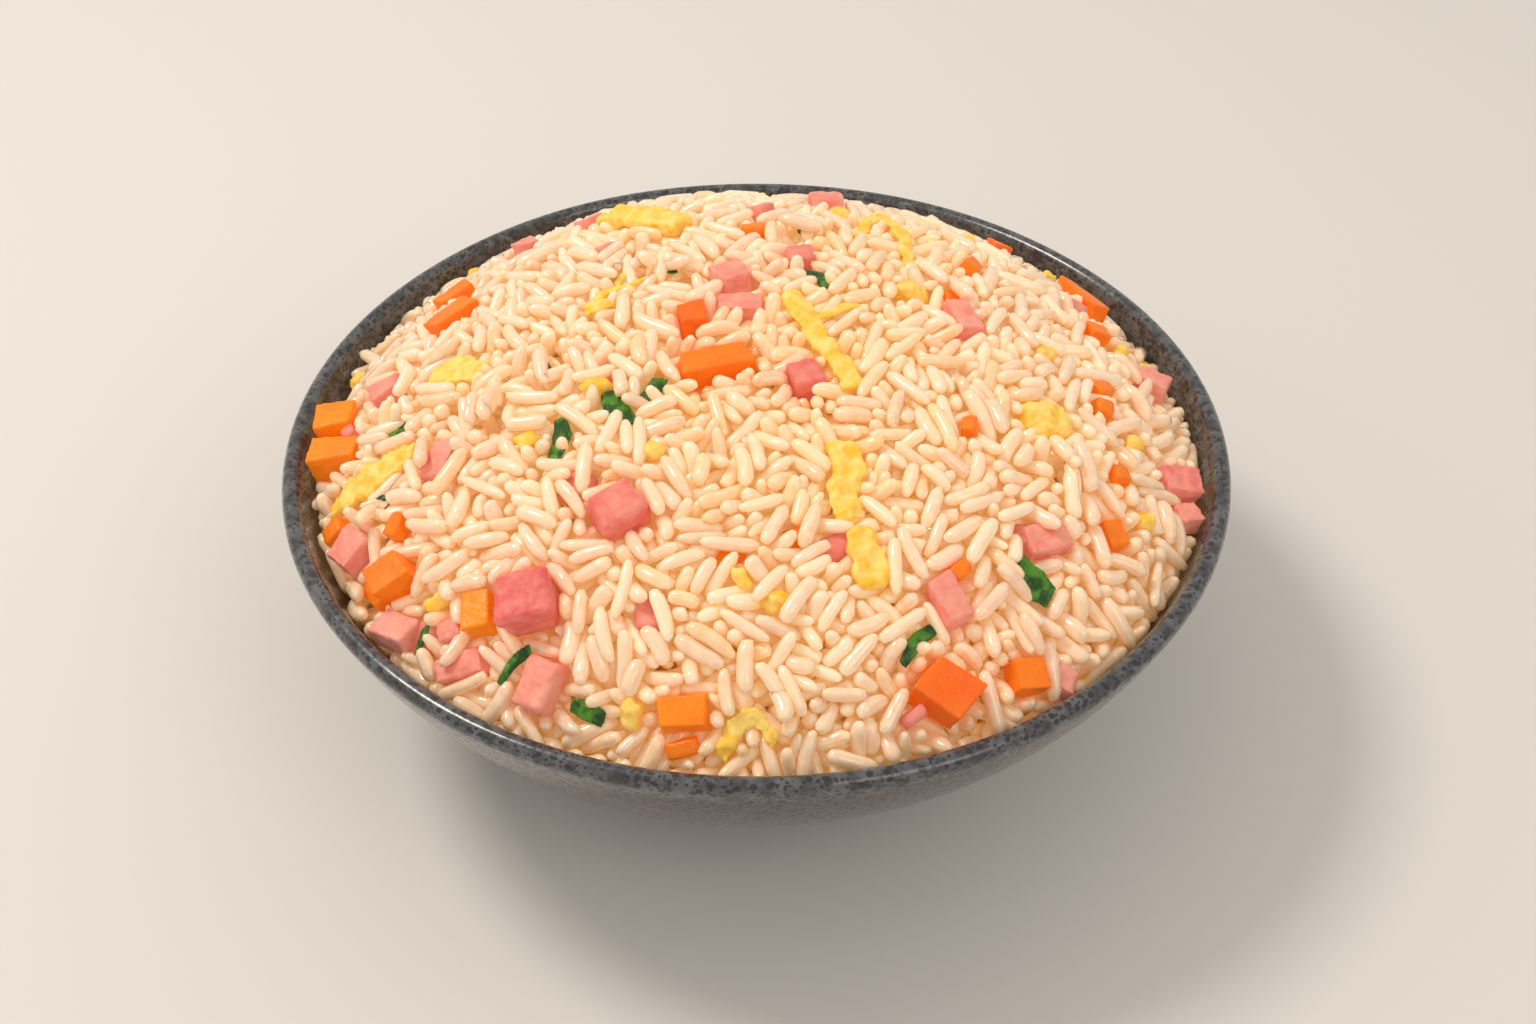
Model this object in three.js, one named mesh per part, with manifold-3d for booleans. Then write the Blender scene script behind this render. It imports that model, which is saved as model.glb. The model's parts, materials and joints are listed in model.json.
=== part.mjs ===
// A bowl of fried rice: a speckled stoneware bowl, the domed heap of long-grain rice that fills it,
// and the diced ham, diced carrot, fried egg and sliced scallion that lie in the heap.
// Millimetres, +Z up, origin in the middle of the foot on the table. The side that faces the viewer is -Y.
import * as THREE from "three";
import { ConvexGeometry } from "three/addons/geometries/ConvexGeometry.js";
import { mergeVertices } from "three/addons/utils/BufferGeometryUtils.js";
import Module from "manifold-3d";

const wasm = await Module();
wasm.setup();

const degrees = THREE.MathUtils.degToRad;

// The bowl: its wall is one arc, steep at the rim and nearly flat at the foot.
const RIM_RADIUS = 80;
const RIM_HEIGHT = 49.2;
const WALL = 3.2;
const SLOPE_AT_RIM = degrees(70);
const SLOPE_AT_FOOT = degrees(12);
const FOOT_RADIUS = 32;
const FOOT_WIDTH = 4;
const FOOT_RECESS = 2.4;
const FOOT_TAPER = 0.6;
const BOWL_SEGMENTS = 48;
const LINING_STEPS = 5; // of the inside below the heap's edge

// The heap of rice
const HEAP_EDGE_DROP = 5.7; // how far its edge lies below the rim
const HEAP_RISE = 25;
const HEAP_FULLNESS = 3.2; // 2 is a paraboloid; more is flatter on top and steeper at the edge
const HEAP_SWELL = 0.45;
const GAP = 0.35; // between pieces that touch

// Cooked grains of rice, which show as ridges on the heap
const GRAIN_LENGTH = [7, 10];
const BROKEN_LENGTH = [4.5, 6];
const GRAIN_RADIUS = 1.3;
const GRAIN_PROUD = [1.4, 2.2]; // of its back over the hollows beside it
const GRAIN_TRIES = 700;
const BROKEN_TRIES = 800;
const TURN_TRIES = 6; // evenly spaced directions that a grain is laid in until one is clear
const GRAIN_INSET = 1.6; // of a grain's ends from the heap's edge
const BACK_STEP = 3.3; // between points of a back, about
const TIP_DROP = 0.45; // of a back's outer points, as a share of its height
const TIP_REACH = 1.4;
const BESIDE_REACH = 1.43;
const HOLLOW_CLEARANCE = 1.4; // between two points of the net
const HOLLOW_INSET = 1.2;
const BETWEEN_COUNT = 220;
const STRIP_ROOM = 3.5; // over a strip's pocket, which keeps the ridges off it

// Unevenness of the toppings, as shares of their size
const CORNER_IN = 0.09;
const CORNER_OUT = 0.05;
const LUMP_PUSH = [0.82, 1.12];
const STRIP_EDGE = 0.6; // thickness of a strip's edges

const COLOURS = {
  glaze: new THREE.MeshStandardMaterial({ color: 0x4a4c50, roughness: 0.35 }),
  rice: new THREE.MeshStandardMaterial({ color: 0xf2dcb8, roughness: 0.4 }),
  ham: new THREE.MeshStandardMaterial({ color: 0xe38585, roughness: 0.45 }),
  carrot: new THREE.MeshStandardMaterial({ color: 0xf27a12, roughness: 0.4 }),
  egg: new THREE.MeshStandardMaterial({ color: 0xf6cf58, roughness: 0.5 }),
  scallion: new THREE.MeshStandardMaterial({ color: 0x2f6b1e, roughness: 0.35 }),
};

const WELD = 1e-4; // corners closer than this are one

// The same stream of random numbers on every run.
function randomStream(seed) {
  let state = seed;
  return (low = 0, high = 1) => {
    state = (state + 0x6d2b79f5) | 0;
    let mixed = Math.imul(state ^ (state >>> 15), 1 | state);
    mixed = (mixed + Math.imul(mixed ^ (mixed >>> 7), 61 | mixed)) ^ mixed;
    return low + (high - low) * (((mixed ^ (mixed >>> 14)) >>> 0) / 4294967296);
  };
}

function solidFrom(geometry) {
  const bare = geometry.index ? geometry.toNonIndexed() : geometry.clone();
  bare.deleteAttribute("normal");
  bare.deleteAttribute("uv");
  const merged = mergeVertices(bare, WELD);
  return new wasm.Manifold(
    new wasm.Mesh({
      numProp: 3,
      vertProperties: new Float32Array(merged.attributes.position.array),
      triVerts: new Uint32Array(merged.index.array),
    }),
  );
}

function geometryFrom(solid) {
  const { vertProperties, triVerts } = solid.getMesh();
  const geometry = new THREE.BufferGeometry();
  geometry.setAttribute("position", new THREE.BufferAttribute(vertProperties, 3));
  geometry.setIndex(new THREE.BufferAttribute(triVerts, 1));
  return geometry;
}

// Bowl wall: circles about one centre, the outer of radius wallArc and the inner one wall thickness less.
const wallArc = (RIM_RADIUS - FOOT_RADIUS) / (Math.sin(SLOPE_AT_RIM) - Math.sin(SLOPE_AT_FOOT));
const lipCentre = new THREE.Vector2(RIM_RADIUS - WALL / 2, RIM_HEIGHT - WALL / 2);
const arcCentre = new THREE.Vector2(
  lipCentre.x - (wallArc - WALL / 2) * Math.sin(SLOPE_AT_RIM),
  lipCentre.y + (wallArc - WALL / 2) * Math.cos(SLOPE_AT_RIM),
);
const onWall = (radius, slope) =>
  new THREE.Vector2(arcCentre.x + radius * Math.sin(slope), arcCentre.y - radius * Math.cos(slope));

// Points of a wall circle from one slope to another, both ends included.
function wallPoints(radius, from, to, steps) {
  return Array.from({ length: steps + 1 }, (_, i) => onWall(radius, from + ((to - from) * i) / steps));
}

// A closed profile from the axis back to the axis, turned about Z.
function turned(profile, segments) {
  return new THREE.LatheGeometry(profile, segments).rotateX(Math.PI / 2);
}

function bowl() {
  const lip = [0, 45, 90, 130].map((angle) =>
    new THREE.Vector2(Math.cos(degrees(angle)), Math.sin(degrees(angle)))
      .multiplyScalar(WALL / 2)
      .add(lipCentre),
  );
  const profile = [
    new THREE.Vector2(0, FOOT_RECESS),
    new THREE.Vector2(FOOT_RADIUS - FOOT_WIDTH - FOOT_TAPER, FOOT_RECESS),
    new THREE.Vector2(FOOT_RADIUS - FOOT_WIDTH, 0),
    new THREE.Vector2(FOOT_RADIUS - FOOT_TAPER, 0),
    ...wallPoints(wallArc, SLOPE_AT_FOOT, SLOPE_AT_RIM, 6),
    ...lip,
    onWall(wallArc - WALL, SLOPE_AT_RIM),
    ...wallPoints(wallArc - WALL, heapEdgeSlope, 0, LINING_STEPS),
    new THREE.Vector2(0, arcCentre.y - wallArc + WALL),
  ];
  return turned(profile, BOWL_SEGMENTS);
}

// Heap: its underside lies along the bowl's inner wall, and its top is a full dome with slow swells.
const liningArc = wallArc - WALL - GAP;
const heapEdgeHeight = RIM_HEIGHT - HEAP_EDGE_DROP;
const heapEdgeSlope = Math.acos((arcCentre.y - heapEdgeHeight) / liningArc);
const heapEdgeRadius = onWall(liningArc, heapEdgeSlope).x;

function heapHeight(x, y) {
  const share = Math.min(Math.hypot(x, y) / heapEdgeRadius, 1);
  const swell = Math.sin(x / 10 + 0.7) * Math.cos(y / 12 - 0.5) + Math.sin((x + y) / 17);
  return (
    heapEdgeHeight + HEAP_RISE * (1 - share ** HEAP_FULLNESS) + HEAP_SWELL * swell * (1 - share ** 6)
  );
}

function heapNormal(x, y) {
  const step = 0.5;
  return new THREE.Vector3(
    (heapHeight(x - step, y) - heapHeight(x + step, y)) / (2 * step),
    (heapHeight(x, y - step) - heapHeight(x, y + step)) / (2 * step),
    1,
  ).normalize();
}

// The frame of a piece that lies on the heap, raised by lift: follow is how far its z leans from
// upright towards the heap's normal, and turn and lean are in degrees about z and x.
function seat({ at: [x, y], turn = 0, lean = 0, follow = 0.75 }, lift) {
  const up = new THREE.Vector3(0, 0, 1).lerp(heapNormal(x, y), follow).normalize();
  const heading = new THREE.Vector3(Math.cos(degrees(turn)), Math.sin(degrees(turn)), 0);
  const side = new THREE.Vector3().crossVectors(up, heading).normalize();
  const along = new THREE.Vector3().crossVectors(side, up);
  return new THREE.Matrix4()
    .makeTranslation(x, y, heapHeight(x, y))
    .multiply(new THREE.Matrix4().makeBasis(along, side, up))
    .multiply(new THREE.Matrix4().makeRotationX(degrees(lean)))
    .multiply(new THREE.Matrix4().makeTranslation(0, 0, lift));
}

// The eight corners of a cube, each as its three signs.
const CORNERS = [-1, 1].flatMap((x) => [-1, 1].flatMap((y) => [-1, 1].map((z) => [x, y, z])));

// A diced piece: a box with uneven corners, each cut off by chamfer. grow widens it for its pocket.
function dice(piece, seed, grow = 0) {
  const random = randomStream(seed);
  const { size, proud, chamfer = 0 } = piece;
  const points = [];
  for (const signs of CORNERS) {
    const corner = signs.map((sign, k) => sign * (size[k] * (0.5 + random(-CORNER_IN, CORNER_OUT)) + grow));
    const cutAxes = chamfer > 0 ? [0, 1, 2] : [-1];
    for (const axis of cutAxes) {
      const cut = corner.map((value, k) => (k === axis ? value : value - signs[k] * chamfer));
      points.push(new THREE.Vector3(...cut));
    }
  }
  return new ConvexGeometry(points).applyMatrix4(seat(piece, proud - size[2] / 2));
}

// A lump of scrambled egg: a low ball pushed in and out.
function lump(piece, seed, grow = 0) {
  const { size, proud, detail = 0 } = piece;
  const ball = new THREE.IcosahedronGeometry(1, detail).deleteAttribute("normal").deleteAttribute("uv");
  const geometry = mergeVertices(ball, WELD);
  const place = geometry.attributes.position;
  const random = randomStream(seed);
  for (let i = 0; i < place.count; i++) {
    const push = random(...LUMP_PUSH);
    const reach = size.map((side) => (push * side) / 2 + grow);
    place.setXYZ(i, place.getX(i) * reach[0], place.getY(i) * reach[1], place.getZ(i) * reach[2]);
  }
  return geometry.applyMatrix4(seat(piece, proud - size[2] / 2));
}

// A strip that lies along a plan route on the heap: a thin wavy solid whose two faces are split alike.
// across is the number of spans over its width, and taper how narrow its ends are. A pocket is open above.
function strip(piece, seed, grow = 0) {
  const { route, width, thickness, across = 2, taper = 0.55, ripple = 0.12, arch = 0, rest = GAP } = piece;
  const random = randomStream(seed);
  const line = new THREE.CatmullRomCurve3(route.map(([x, y]) => new THREE.Vector3(x, y, 0)));
  const steps = piece.steps ?? 8;
  const room = grow > 0 ? STRIP_ROOM : 0;
  const rows = [];
  for (let i = 0; i <= steps; i++) {
    const share = i / steps;
    const middle = line.getPointAt(share);
    const along = line.getTangentAt(share);
    const side = new THREE.Vector3(-along.y, along.x, 0);
    const end = Math.sin(Math.PI * (0.12 + 0.76 * share));
    const half = (width / 2) * (taper + (1 - taper) * end) * random(1 - ripple, 1 + ripple) + grow;
    const raise = rest + thickness / 2 + arch * Math.sin(Math.PI * share) + random(0, ripple) * thickness;
    const reach = grow * (i === 0 ? -1 : i === steps ? 1 : 0);
    const row = { upper: [], lower: [] };
    for (let k = 0; k <= across; k++) {
      const offset = ((2 * k) / across - 1) * half;
      const x = middle.x + side.x * offset + along.x * reach;
      const y = middle.y + side.y * offset + along.y * reach;
      const edge = k === 0 || k === across ? STRIP_EDGE : 1;
      const z = heapHeight(x, y) + raise;
      row.upper.push([x, y, z + (thickness / 2) * edge + grow + room]);
      row.lower.push([x, y, z - (thickness / 2) * edge - grow]);
    }
    rows.push(row);
  }
  const corners = [];
  const quad = (a, b, c, d) => corners.push(...a, ...b, ...c, ...a, ...c, ...d);
  for (let i = 0; i < steps; i++) {
    const [here, next] = [rows[i], rows[i + 1]];
    for (let k = 0; k < across; k++) {
      quad(here.upper[k], next.upper[k], next.upper[k + 1], here.upper[k + 1]);
      quad(here.lower[k + 1], next.lower[k + 1], next.lower[k], here.lower[k]);
    }
    quad(here.lower[0], next.lower[0], next.upper[0], here.upper[0]);
    quad(here.upper[across], next.upper[across], next.lower[across], here.lower[across]);
  }
  for (let k = 0; k < across; k++) {
    quad(rows[0].lower[k + 1], rows[0].lower[k], rows[0].upper[k], rows[0].upper[k + 1]);
    quad(rows[steps].lower[k], rows[steps].lower[k + 1], rows[steps].upper[k + 1], rows[steps].upper[k]);
  }
  const geometry = new THREE.BufferGeometry();
  geometry.setAttribute("position", new THREE.Float32BufferAttribute(corners, 3));
  return geometry;
}

// Where the pieces lie, in plan, as they show from the front: size is length, width and thickness.
const HAM = [
  { at: [-33.8, -49.9], size: [8.6, 8.2, 8.4], turn: 6, proud: 5.6, lean: 6, chamfer: 0.8 },
  { at: [-21, -38.4], size: [8, 7, 5.4], turn: 34, proud: 3.4, chamfer: 0.6 },
  { at: [-63.6, -29.6], size: [6.4, 5.8, 5.6], turn: 37, proud: 3.8 },
  { at: [-31.6, -60.4], size: [8, 5.6, 5.2], turn: 61, proud: 3.6, chamfer: 0.6 },
  { at: [-55.2, -46.4], size: [6.6, 4.6, 4.5], turn: -34, proud: 3.4, follow: 0.3 },
  { at: [28.2, -50.5], size: [7.6, 4.4, 4.2], turn: -62, proud: 2.6 },
  { at: [69, -14.6], size: [7, 5.4, 5.2], turn: 8, proud: 3.6, follow: 0.5 },
  { at: [69.6, -20.8], size: [4.4, 4, 4], turn: 20, proud: 3.8, follow: 0.4 },
  { at: [7.9, -11.4], size: [5.4, 5.4, 5.4], turn: 20, proud: 2.8 },
  { at: [-4.2, 15.8], size: [5.6, 5.6, 5.5], turn: 30, proud: 3 },
  { at: [-2.6, 8.4], size: [7.6, 4.6, 3.4], turn: -5, proud: 1.8 },
  { at: [34.6, 7.4], size: [9.4, 4.2, 4], turn: -72, proud: 2.2 },
  { at: [13, 50], size: [6, 5.4, 5], turn: 5, proud: 3.6 },
  { at: [68.4, 11.4], size: [5.8, 4.8, 4.4], turn: -20, proud: 3.4, follow: 0.5 },
  { at: [-50.4, -20.6], size: [7.4, 5, 4], turn: 70, proud: 1.6 },
  { at: [-62.5, 3.8], size: [5.8, 4.2, 3.6], turn: 10, proud: 2.2 },
  { at: [-41.2, 41.4], size: [4.4, 4.4, 4.4], turn: 40, proud: 3.4 },
  { at: [45.2, -56.4], size: [4.2, 3.8, 4], turn: 80, proud: 3 },
  { at: [-44.4, -54.4], size: [7.4, 4, 4], turn: 12, proud: 1.4 },
  { at: [44, -37.6], size: [7.6, 5.2, 4], turn: 25, proud: 1.6 },
  { at: [-46.4, -49.4], size: [3.8, 3.4, 3.6], turn: 20, proud: 1.6 },
];
const CARROT = [
  { at: [27.4, -62.2], size: [8.6, 7.6, 6], turn: -35, proud: 4 },
  { at: [-6.6, -7.4], size: [11.4, 4.8, 4.6], turn: 14, proud: 2.6 },
  { at: [-55.6, -38.6], size: [6.6, 6.2, 7], turn: 28, proud: 4.8 },
  { at: [-71, 0.8], size: [6.6, 6, 6.2], turn: 3, proud: 5.6, follow: 0.2 },
  { at: [-70, -7.2], size: [8.2, 5.6, 5], turn: -4, proud: 4.4, follow: 0.3 },
  { at: [-53, 28.6], size: [7.6, 3.4, 3.6], turn: 42, proud: 3 },
  { at: [-52.4, 17.8], size: [9, 4.8, 4], turn: 40, proud: 2.8 },
  { at: [-10.4, 5.4], size: [4.8, 5, 5], turn: 12, proud: 2.6 },
  { at: [58.6, 34], size: [10.8, 3.6, 4.5], turn: -57, proud: 3.6 },
  { at: [58.8, 17], size: [4, 3.8, 3.8], turn: 10, proud: 3 },
  { at: [-41.4, -48.9], size: [4.8, 6.2, 5], turn: 4, proud: 3 },
  { at: [-10.6, -66.8], size: [7.4, 4.8, 4.2], turn: 3, proud: 2.8 },
  { at: [39.8, -57.7], size: [5.2, 5, 5], turn: 8, proud: 3.4 },
  { at: [45.4, 51.6], size: [4.6, 3.8, 4], turn: 20, proud: 3.2 },
  { at: [55.8, -32], size: [4.8, 4, 4], turn: -60, proud: 1.8 },
];
const EGG_STRIPS = [
  { route: [[-27.8, 43], [-23, 40.5], [-17.5, 36.5], [-12.8, 32.4]], width: 7.2, thickness: 3.6 },
  {
    route: [[5.4, 9.6], [8, 3.5], [10.6, -3.5], [13.8, -9], [15.6, -14.8]],
    width: 3.8,
    thickness: 1.7,
    taper: 0.85,
  },
  { route: [[12.6, -26.5], [14.2, -31], [12.8, -36], [14, -41]], width: 5, thickness: 1.9 },
  { route: [[14.6, -42.8], [16.2, -46], [17, -51]], width: 5, thickness: 2, taper: 0.6 },
  { route: [[-69.5, -18.2], [-64, -18.4], [-59, -17.4], [-54.8, -17.6]], width: 5.6, thickness: 2.4 },
  {
    route: [[18.3, 31.5], [20, 38.5], [22.4, 43], [25, 38], [26.4, 29], [26.8, 21.5]],
    width: 2.4,
    thickness: 1.6,
    taper: 0.8,
    arch: 1,
    across: 1,
    steps: 14,
  },
  { route: [[-53.5, 0.4], [-49, -1], [-45, -3.4]], width: 6.2, thickness: 1.4, steps: 6 },
  {
    route: [[-5.4, -72.4], [-3.8, -69.6], [-0.4, -68.2], [2.6, -71]],
    width: 2.3,
    thickness: 1.5,
    taper: 0.75,
    across: 1,
  },
];
const EGG_LUMPS = [
  { at: [45.8, -15], size: [9.6, 8, 5.2], turn: -20, proud: 3.2, detail: 1 },
  { at: [26.3, 13.6], size: [6.2, 5, 4.4], turn: 10, proud: 2.8 },
  { at: [15, 43.8], size: [7, 4.6, 4.2], turn: 0, proud: 2.8 },
  { at: [54.2, 44.2], size: [5.4, 4.8, 4.2], turn: 60, proud: 3.2 },
];
const SCALLION_STRIPS = [
  { route: [[-23.6, -13.2], [-22.4, -17], [-19.6, -21.6]], width: 3.6 },
  { route: [[-17.6, -15.8], [-16.2, -13.2], [-15.4, -10.6]], width: 3.2, taper: 0.8 },
  { route: [[39.4, -43], [41.6, -44.8], [44.6, -46.4]], width: 5.2, taper: 0.5 },
  { route: [[-27.4, -63.8], [-25, -64.8], [-22.4, -66.4]], width: 2.2 },
  { route: [[-31, -18.7], [-30.4, -23.4], [-31.8, -28]], width: 3.2, taper: 0.4 },
  { route: [[-65, -7.4], [-61.4, -9.4], [-57.6, -11]], width: 2.6, taper: 0.5 },
  { route: [[-52.6, -51.2], [-51.3, -49.2], [-50.2, -47], [-49.8, -44.4]], width: 1.4 },
  { route: [[-38.4, -59], [-36.4, -57], [-33.6, -55.9]], width: 1.8 },
  { route: [[8, 17.5], [10.6, 16.6], [11.6, 12.6]], width: 2.1 },
  { route: [[21.2, -60.4], [23.4, -57], [26.2, -55]], width: 2 },
];
const SCALLION_THICKNESS = 0.8;

// Small scraps that show between the grains; each is part of the heap. [x, y] in plan.
const SCRAPS = [
  [-25.5, 28.5], [1, 43.5], [7.5, 22.5], [-23, -6.5], [50, 27], [-68, -23.8], [-56, -29.8], [-0.5, 32],
  [57, -2], [37.5, 27], [-26, 10], [-26, -12], [-18.4, -65.7], [61.5, -11.5], [61.4, -26.6],
  [-34.3, -6], [-59.5, -24], [-15.4, 20], [49, -22.5], [-67.5, 18], [-44, -13], [8.5, 33.5],
];
const SCRAP_SIZE = [4.2, 3, 2.4];
const SCRAP_PROUD = 1.3;

// Every topping as { name, material, build }, where build(grow) gives its geometry.
const toppings = [];
function addToppings(kind, pieces, material, make) {
  const already = toppings.filter((topping) => topping.kind === kind).length;
  pieces.forEach((piece, i) => {
    const number = already + i + 1;
    const seed = number * 97 + kind.length;
    toppings.push({
      kind,
      material,
      name: `${kind}_${String(number).padStart(2, "0")}`,
      build: (grow) => make(piece, seed, grow),
    });
  });
}
addToppings("ham", HAM, COLOURS.ham, dice);
addToppings("carrot", CARROT, COLOURS.carrot, dice);
addToppings("egg", EGG_STRIPS, COLOURS.egg, strip);
addToppings("egg", EGG_LUMPS, COLOURS.egg, lump);
const scallions = SCALLION_STRIPS.map((piece) => ({ thickness: SCALLION_THICKNESS, steps: 5, ...piece }));
addToppings("scallion", scallions, COLOURS.scallion, strip);

// Places spread evenly over a disc: a sunflower spiral.
function spiral(count, discRadius) {
  const goldenAngle = Math.PI * (3 - Math.sqrt(5));
  return Array.from({ length: count }, (_, i) => {
    const radius = discRadius * Math.sqrt((i + 0.5) / count);
    return [radius * Math.cos(i * goldenAngle), radius * Math.sin(i * goldenAngle)];
  });
}

function overlaps(a, b) {
  const [p, q] = [a.boundingBox(), b.boundingBox()];
  const apart = [0, 1, 2].some((k) => p.min[k] > q.max[k] || q.min[k] > p.max[k]);
  return !apart && a.intersect(b).volume() > 0;
}

// Grains as lines in plan, the long ones first, each with points along its back. One that would cross
// a topping or another grain is turned, and left out if no turn clears it.
function layGrains(obstacles) {
  const random = randomStream(2026);
  const box = new THREE.BoxGeometry(1, GRAIN_RADIUS, 2 * GRAIN_RADIUS);
  const grains = [];
  const lay = (at, length, turn, proud) => {
    const half = new THREE.Vector2(length / 2 - GRAIN_RADIUS, 0);
    half.rotateAround(new THREE.Vector2(), degrees(turn));
    const [start, end] = [-1, 1].map((sign) => new THREE.Vector2(...at).addScaledVector(half, sign));
    const steps = Math.round(length / BACK_STEP);
    const back = Array.from({ length: steps + 1 }, (_, i) => start.clone().lerp(end, i / steps));
    const touches = (point) => (other) => other.distanceTo(point) < 2 * GRAIN_RADIUS;
    if (back.some((point) => point.length() > heapEdgeRadius - GRAIN_INSET)) return false;
    if (grains.some((grain) => back.some((point) => grain.back.some(touches(point))))) return false;
    const place = seat({ at, turn, follow: 1 }, 0).scale(new THREE.Vector3(length, 1, 1));
    const body = solidFrom(box.clone().applyMatrix4(place));
    if (obstacles.some((obstacle) => overlaps(body, obstacle))) return false;
    grains.push({ back, proud });
    return true;
  };
  for (const [tries, lengths] of [[GRAIN_TRIES, GRAIN_LENGTH], [BROKEN_TRIES, BROKEN_LENGTH]]) {
    for (const at of spiral(tries, heapEdgeRadius - GRAIN_INSET)) {
      const first = random(0, 180);
      const proud = random(...GRAIN_PROUD);
      const length = random(...lengths);
      const turns = Array.from({ length: TURN_TRIES }, (_, i) => first + (i * 180) / TURN_TRIES);
      turns.some((turn) => lay(at, length, turn, proud));
    }
  }
  return grains;
}

// Points along the back of a grain with their heights: the outer two are lower than those between.
function backOf({ back, proud }) {
  const isTip = (i) => i === 0 || i === back.length - 1;
  return back.map((point, i) => ({ point, rise: isTip(i) ? proud * (1 - TIP_DROP) : proud }));
}

// Points in the hollow round a grain: beside each step of its back, and beyond both tips.
function besideGrain({ back }) {
  const [start, end] = [back[0], back.at(-1)];
  const along = end.clone().sub(start).normalize();
  const side = new THREE.Vector2(-along.y, along.x);
  const between = back.slice(1).map((point, i) => point.clone().lerp(back[i], 0.5));
  return [
    ...between.map((point) => point.clone().addScaledVector(side, BESIDE_REACH)),
    ...between.map((point) => point.clone().addScaledVector(side, -BESIDE_REACH)),
    start.clone().addScaledVector(along, -TIP_REACH),
    end.clone().addScaledVector(along, TIP_REACH),
  ];
}

// The heap's top is a net over the backs of the grains and the hollows between them. The net comes
// from the hull of the same points on a lens, where each of them is a corner.
function heapCore(grains) {
  const backs = grains.flatMap(backOf);
  const hollows = [];
  const addHollows = (places, clearance) => {
    for (const place of places) {
      const near = (other) => other.distanceTo(place) < clearance;
      if (place.length() > heapEdgeRadius - HOLLOW_INSET) continue;
      if (!hollows.some(near) && !backs.some((back) => near(back.point))) hollows.push(place);
    }
  };
  addHollows(grains.flatMap(besideGrain), HOLLOW_CLEARANCE);
  const between = spiral(BETWEEN_COUNT, heapEdgeRadius - HOLLOW_INSET).map((at) => new THREE.Vector2(...at));
  addHollows(between, 2 * HOLLOW_CLEARANCE);

  const points = [];
  const heights = [];
  const add = (x, y, side, z) => {
    points.push(new THREE.Vector3(x, y, side * (heapEdgeRadius ** 2 - x * x - y * y)));
    heights.push(z);
  };
  for (const { point: { x, y }, rise } of backs) {
    add(x, y, 1, heapHeight(x, y) + rise / heapNormal(x, y).z);
  }
  for (const { x, y } of hollows) add(x, y, 1, heapHeight(x, y));
  const rings = wallPoints(liningArc, 0, heapEdgeSlope, LINING_STEPS);
  for (const ring of rings) {
    for (let i = 0; i < BOWL_SEGMENTS; i++) {
      const turn = (2 * Math.PI * i) / BOWL_SEGMENTS;
      add(ring.x * Math.cos(turn), ring.x * Math.sin(turn), ring === rings.at(-1) ? 0 : -1, ring.y);
    }
  }
  const key = (x, y, z) => `${Math.fround(x)},${Math.fround(y)},${Math.fround(z)}`;
  const heightAt = new Map(points.map(({ x, y, z }, i) => [key(x, y, z), heights[i]]));
  const geometry = new ConvexGeometry(points);
  const place = geometry.attributes.position;
  for (let i = 0; i < place.count; i++) {
    place.setZ(i, heightAt.get(key(place.getX(i), place.getY(i), place.getZ(i))));
  }
  return solidFrom(geometry);
}

// The largest of the bodies that cutting left, without loose scraps.
function largest(solid) {
  return solid.decompose().reduce((best, body) => (body.volume() > best.volume() ? body : best));
}

function riceHeap() {
  const pockets = toppings.map((topping) => solidFrom(topping.build(GAP)));
  const scraps = SCRAPS.map((at, i) =>
    solidFrom(dice({ at, size: SCRAP_SIZE, turn: i * 50, proud: SCRAP_PROUD }, i + 1)),
  ).filter((scrap) => !pockets.some((pocket) => overlaps(scrap, pocket)));
  const grains = layGrains([...pockets, ...scraps]);
  const heap = heapCore(grains).add(wasm.Manifold.union(scraps));
  return largest(heap.subtract(wasm.Manifold.union(pockets)));
}

const friedRice = new THREE.Group();
function addNode(name, geometry, material) {
  const mesh = new THREE.Mesh(geometry, material);
  mesh.name = name;
  friedRice.add(mesh);
}
addNode("bowl", bowl(), COLOURS.glaze);
addNode("rice_heap", geometryFrom(riceHeap()), COLOURS.rice);
for (const topping of toppings) {
  addNode(topping.name, geometryFrom(solidFrom(topping.build(0))), topping.material);
}

export default friedRice;
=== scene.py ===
"""A bowl of fried rice: long-grain rice, ham, carrot, egg and scallion in a speckled stoneware bowl."""

import json
import math
from typing import NamedTuple

import bmesh
import bpy
import numpy as np
from bpy.props import FloatProperty, FloatVectorProperty, IntProperty, PointerProperty
from mathutils import Matrix, Vector, noise
from mathutils.bvhtree import BVHTree

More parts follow.
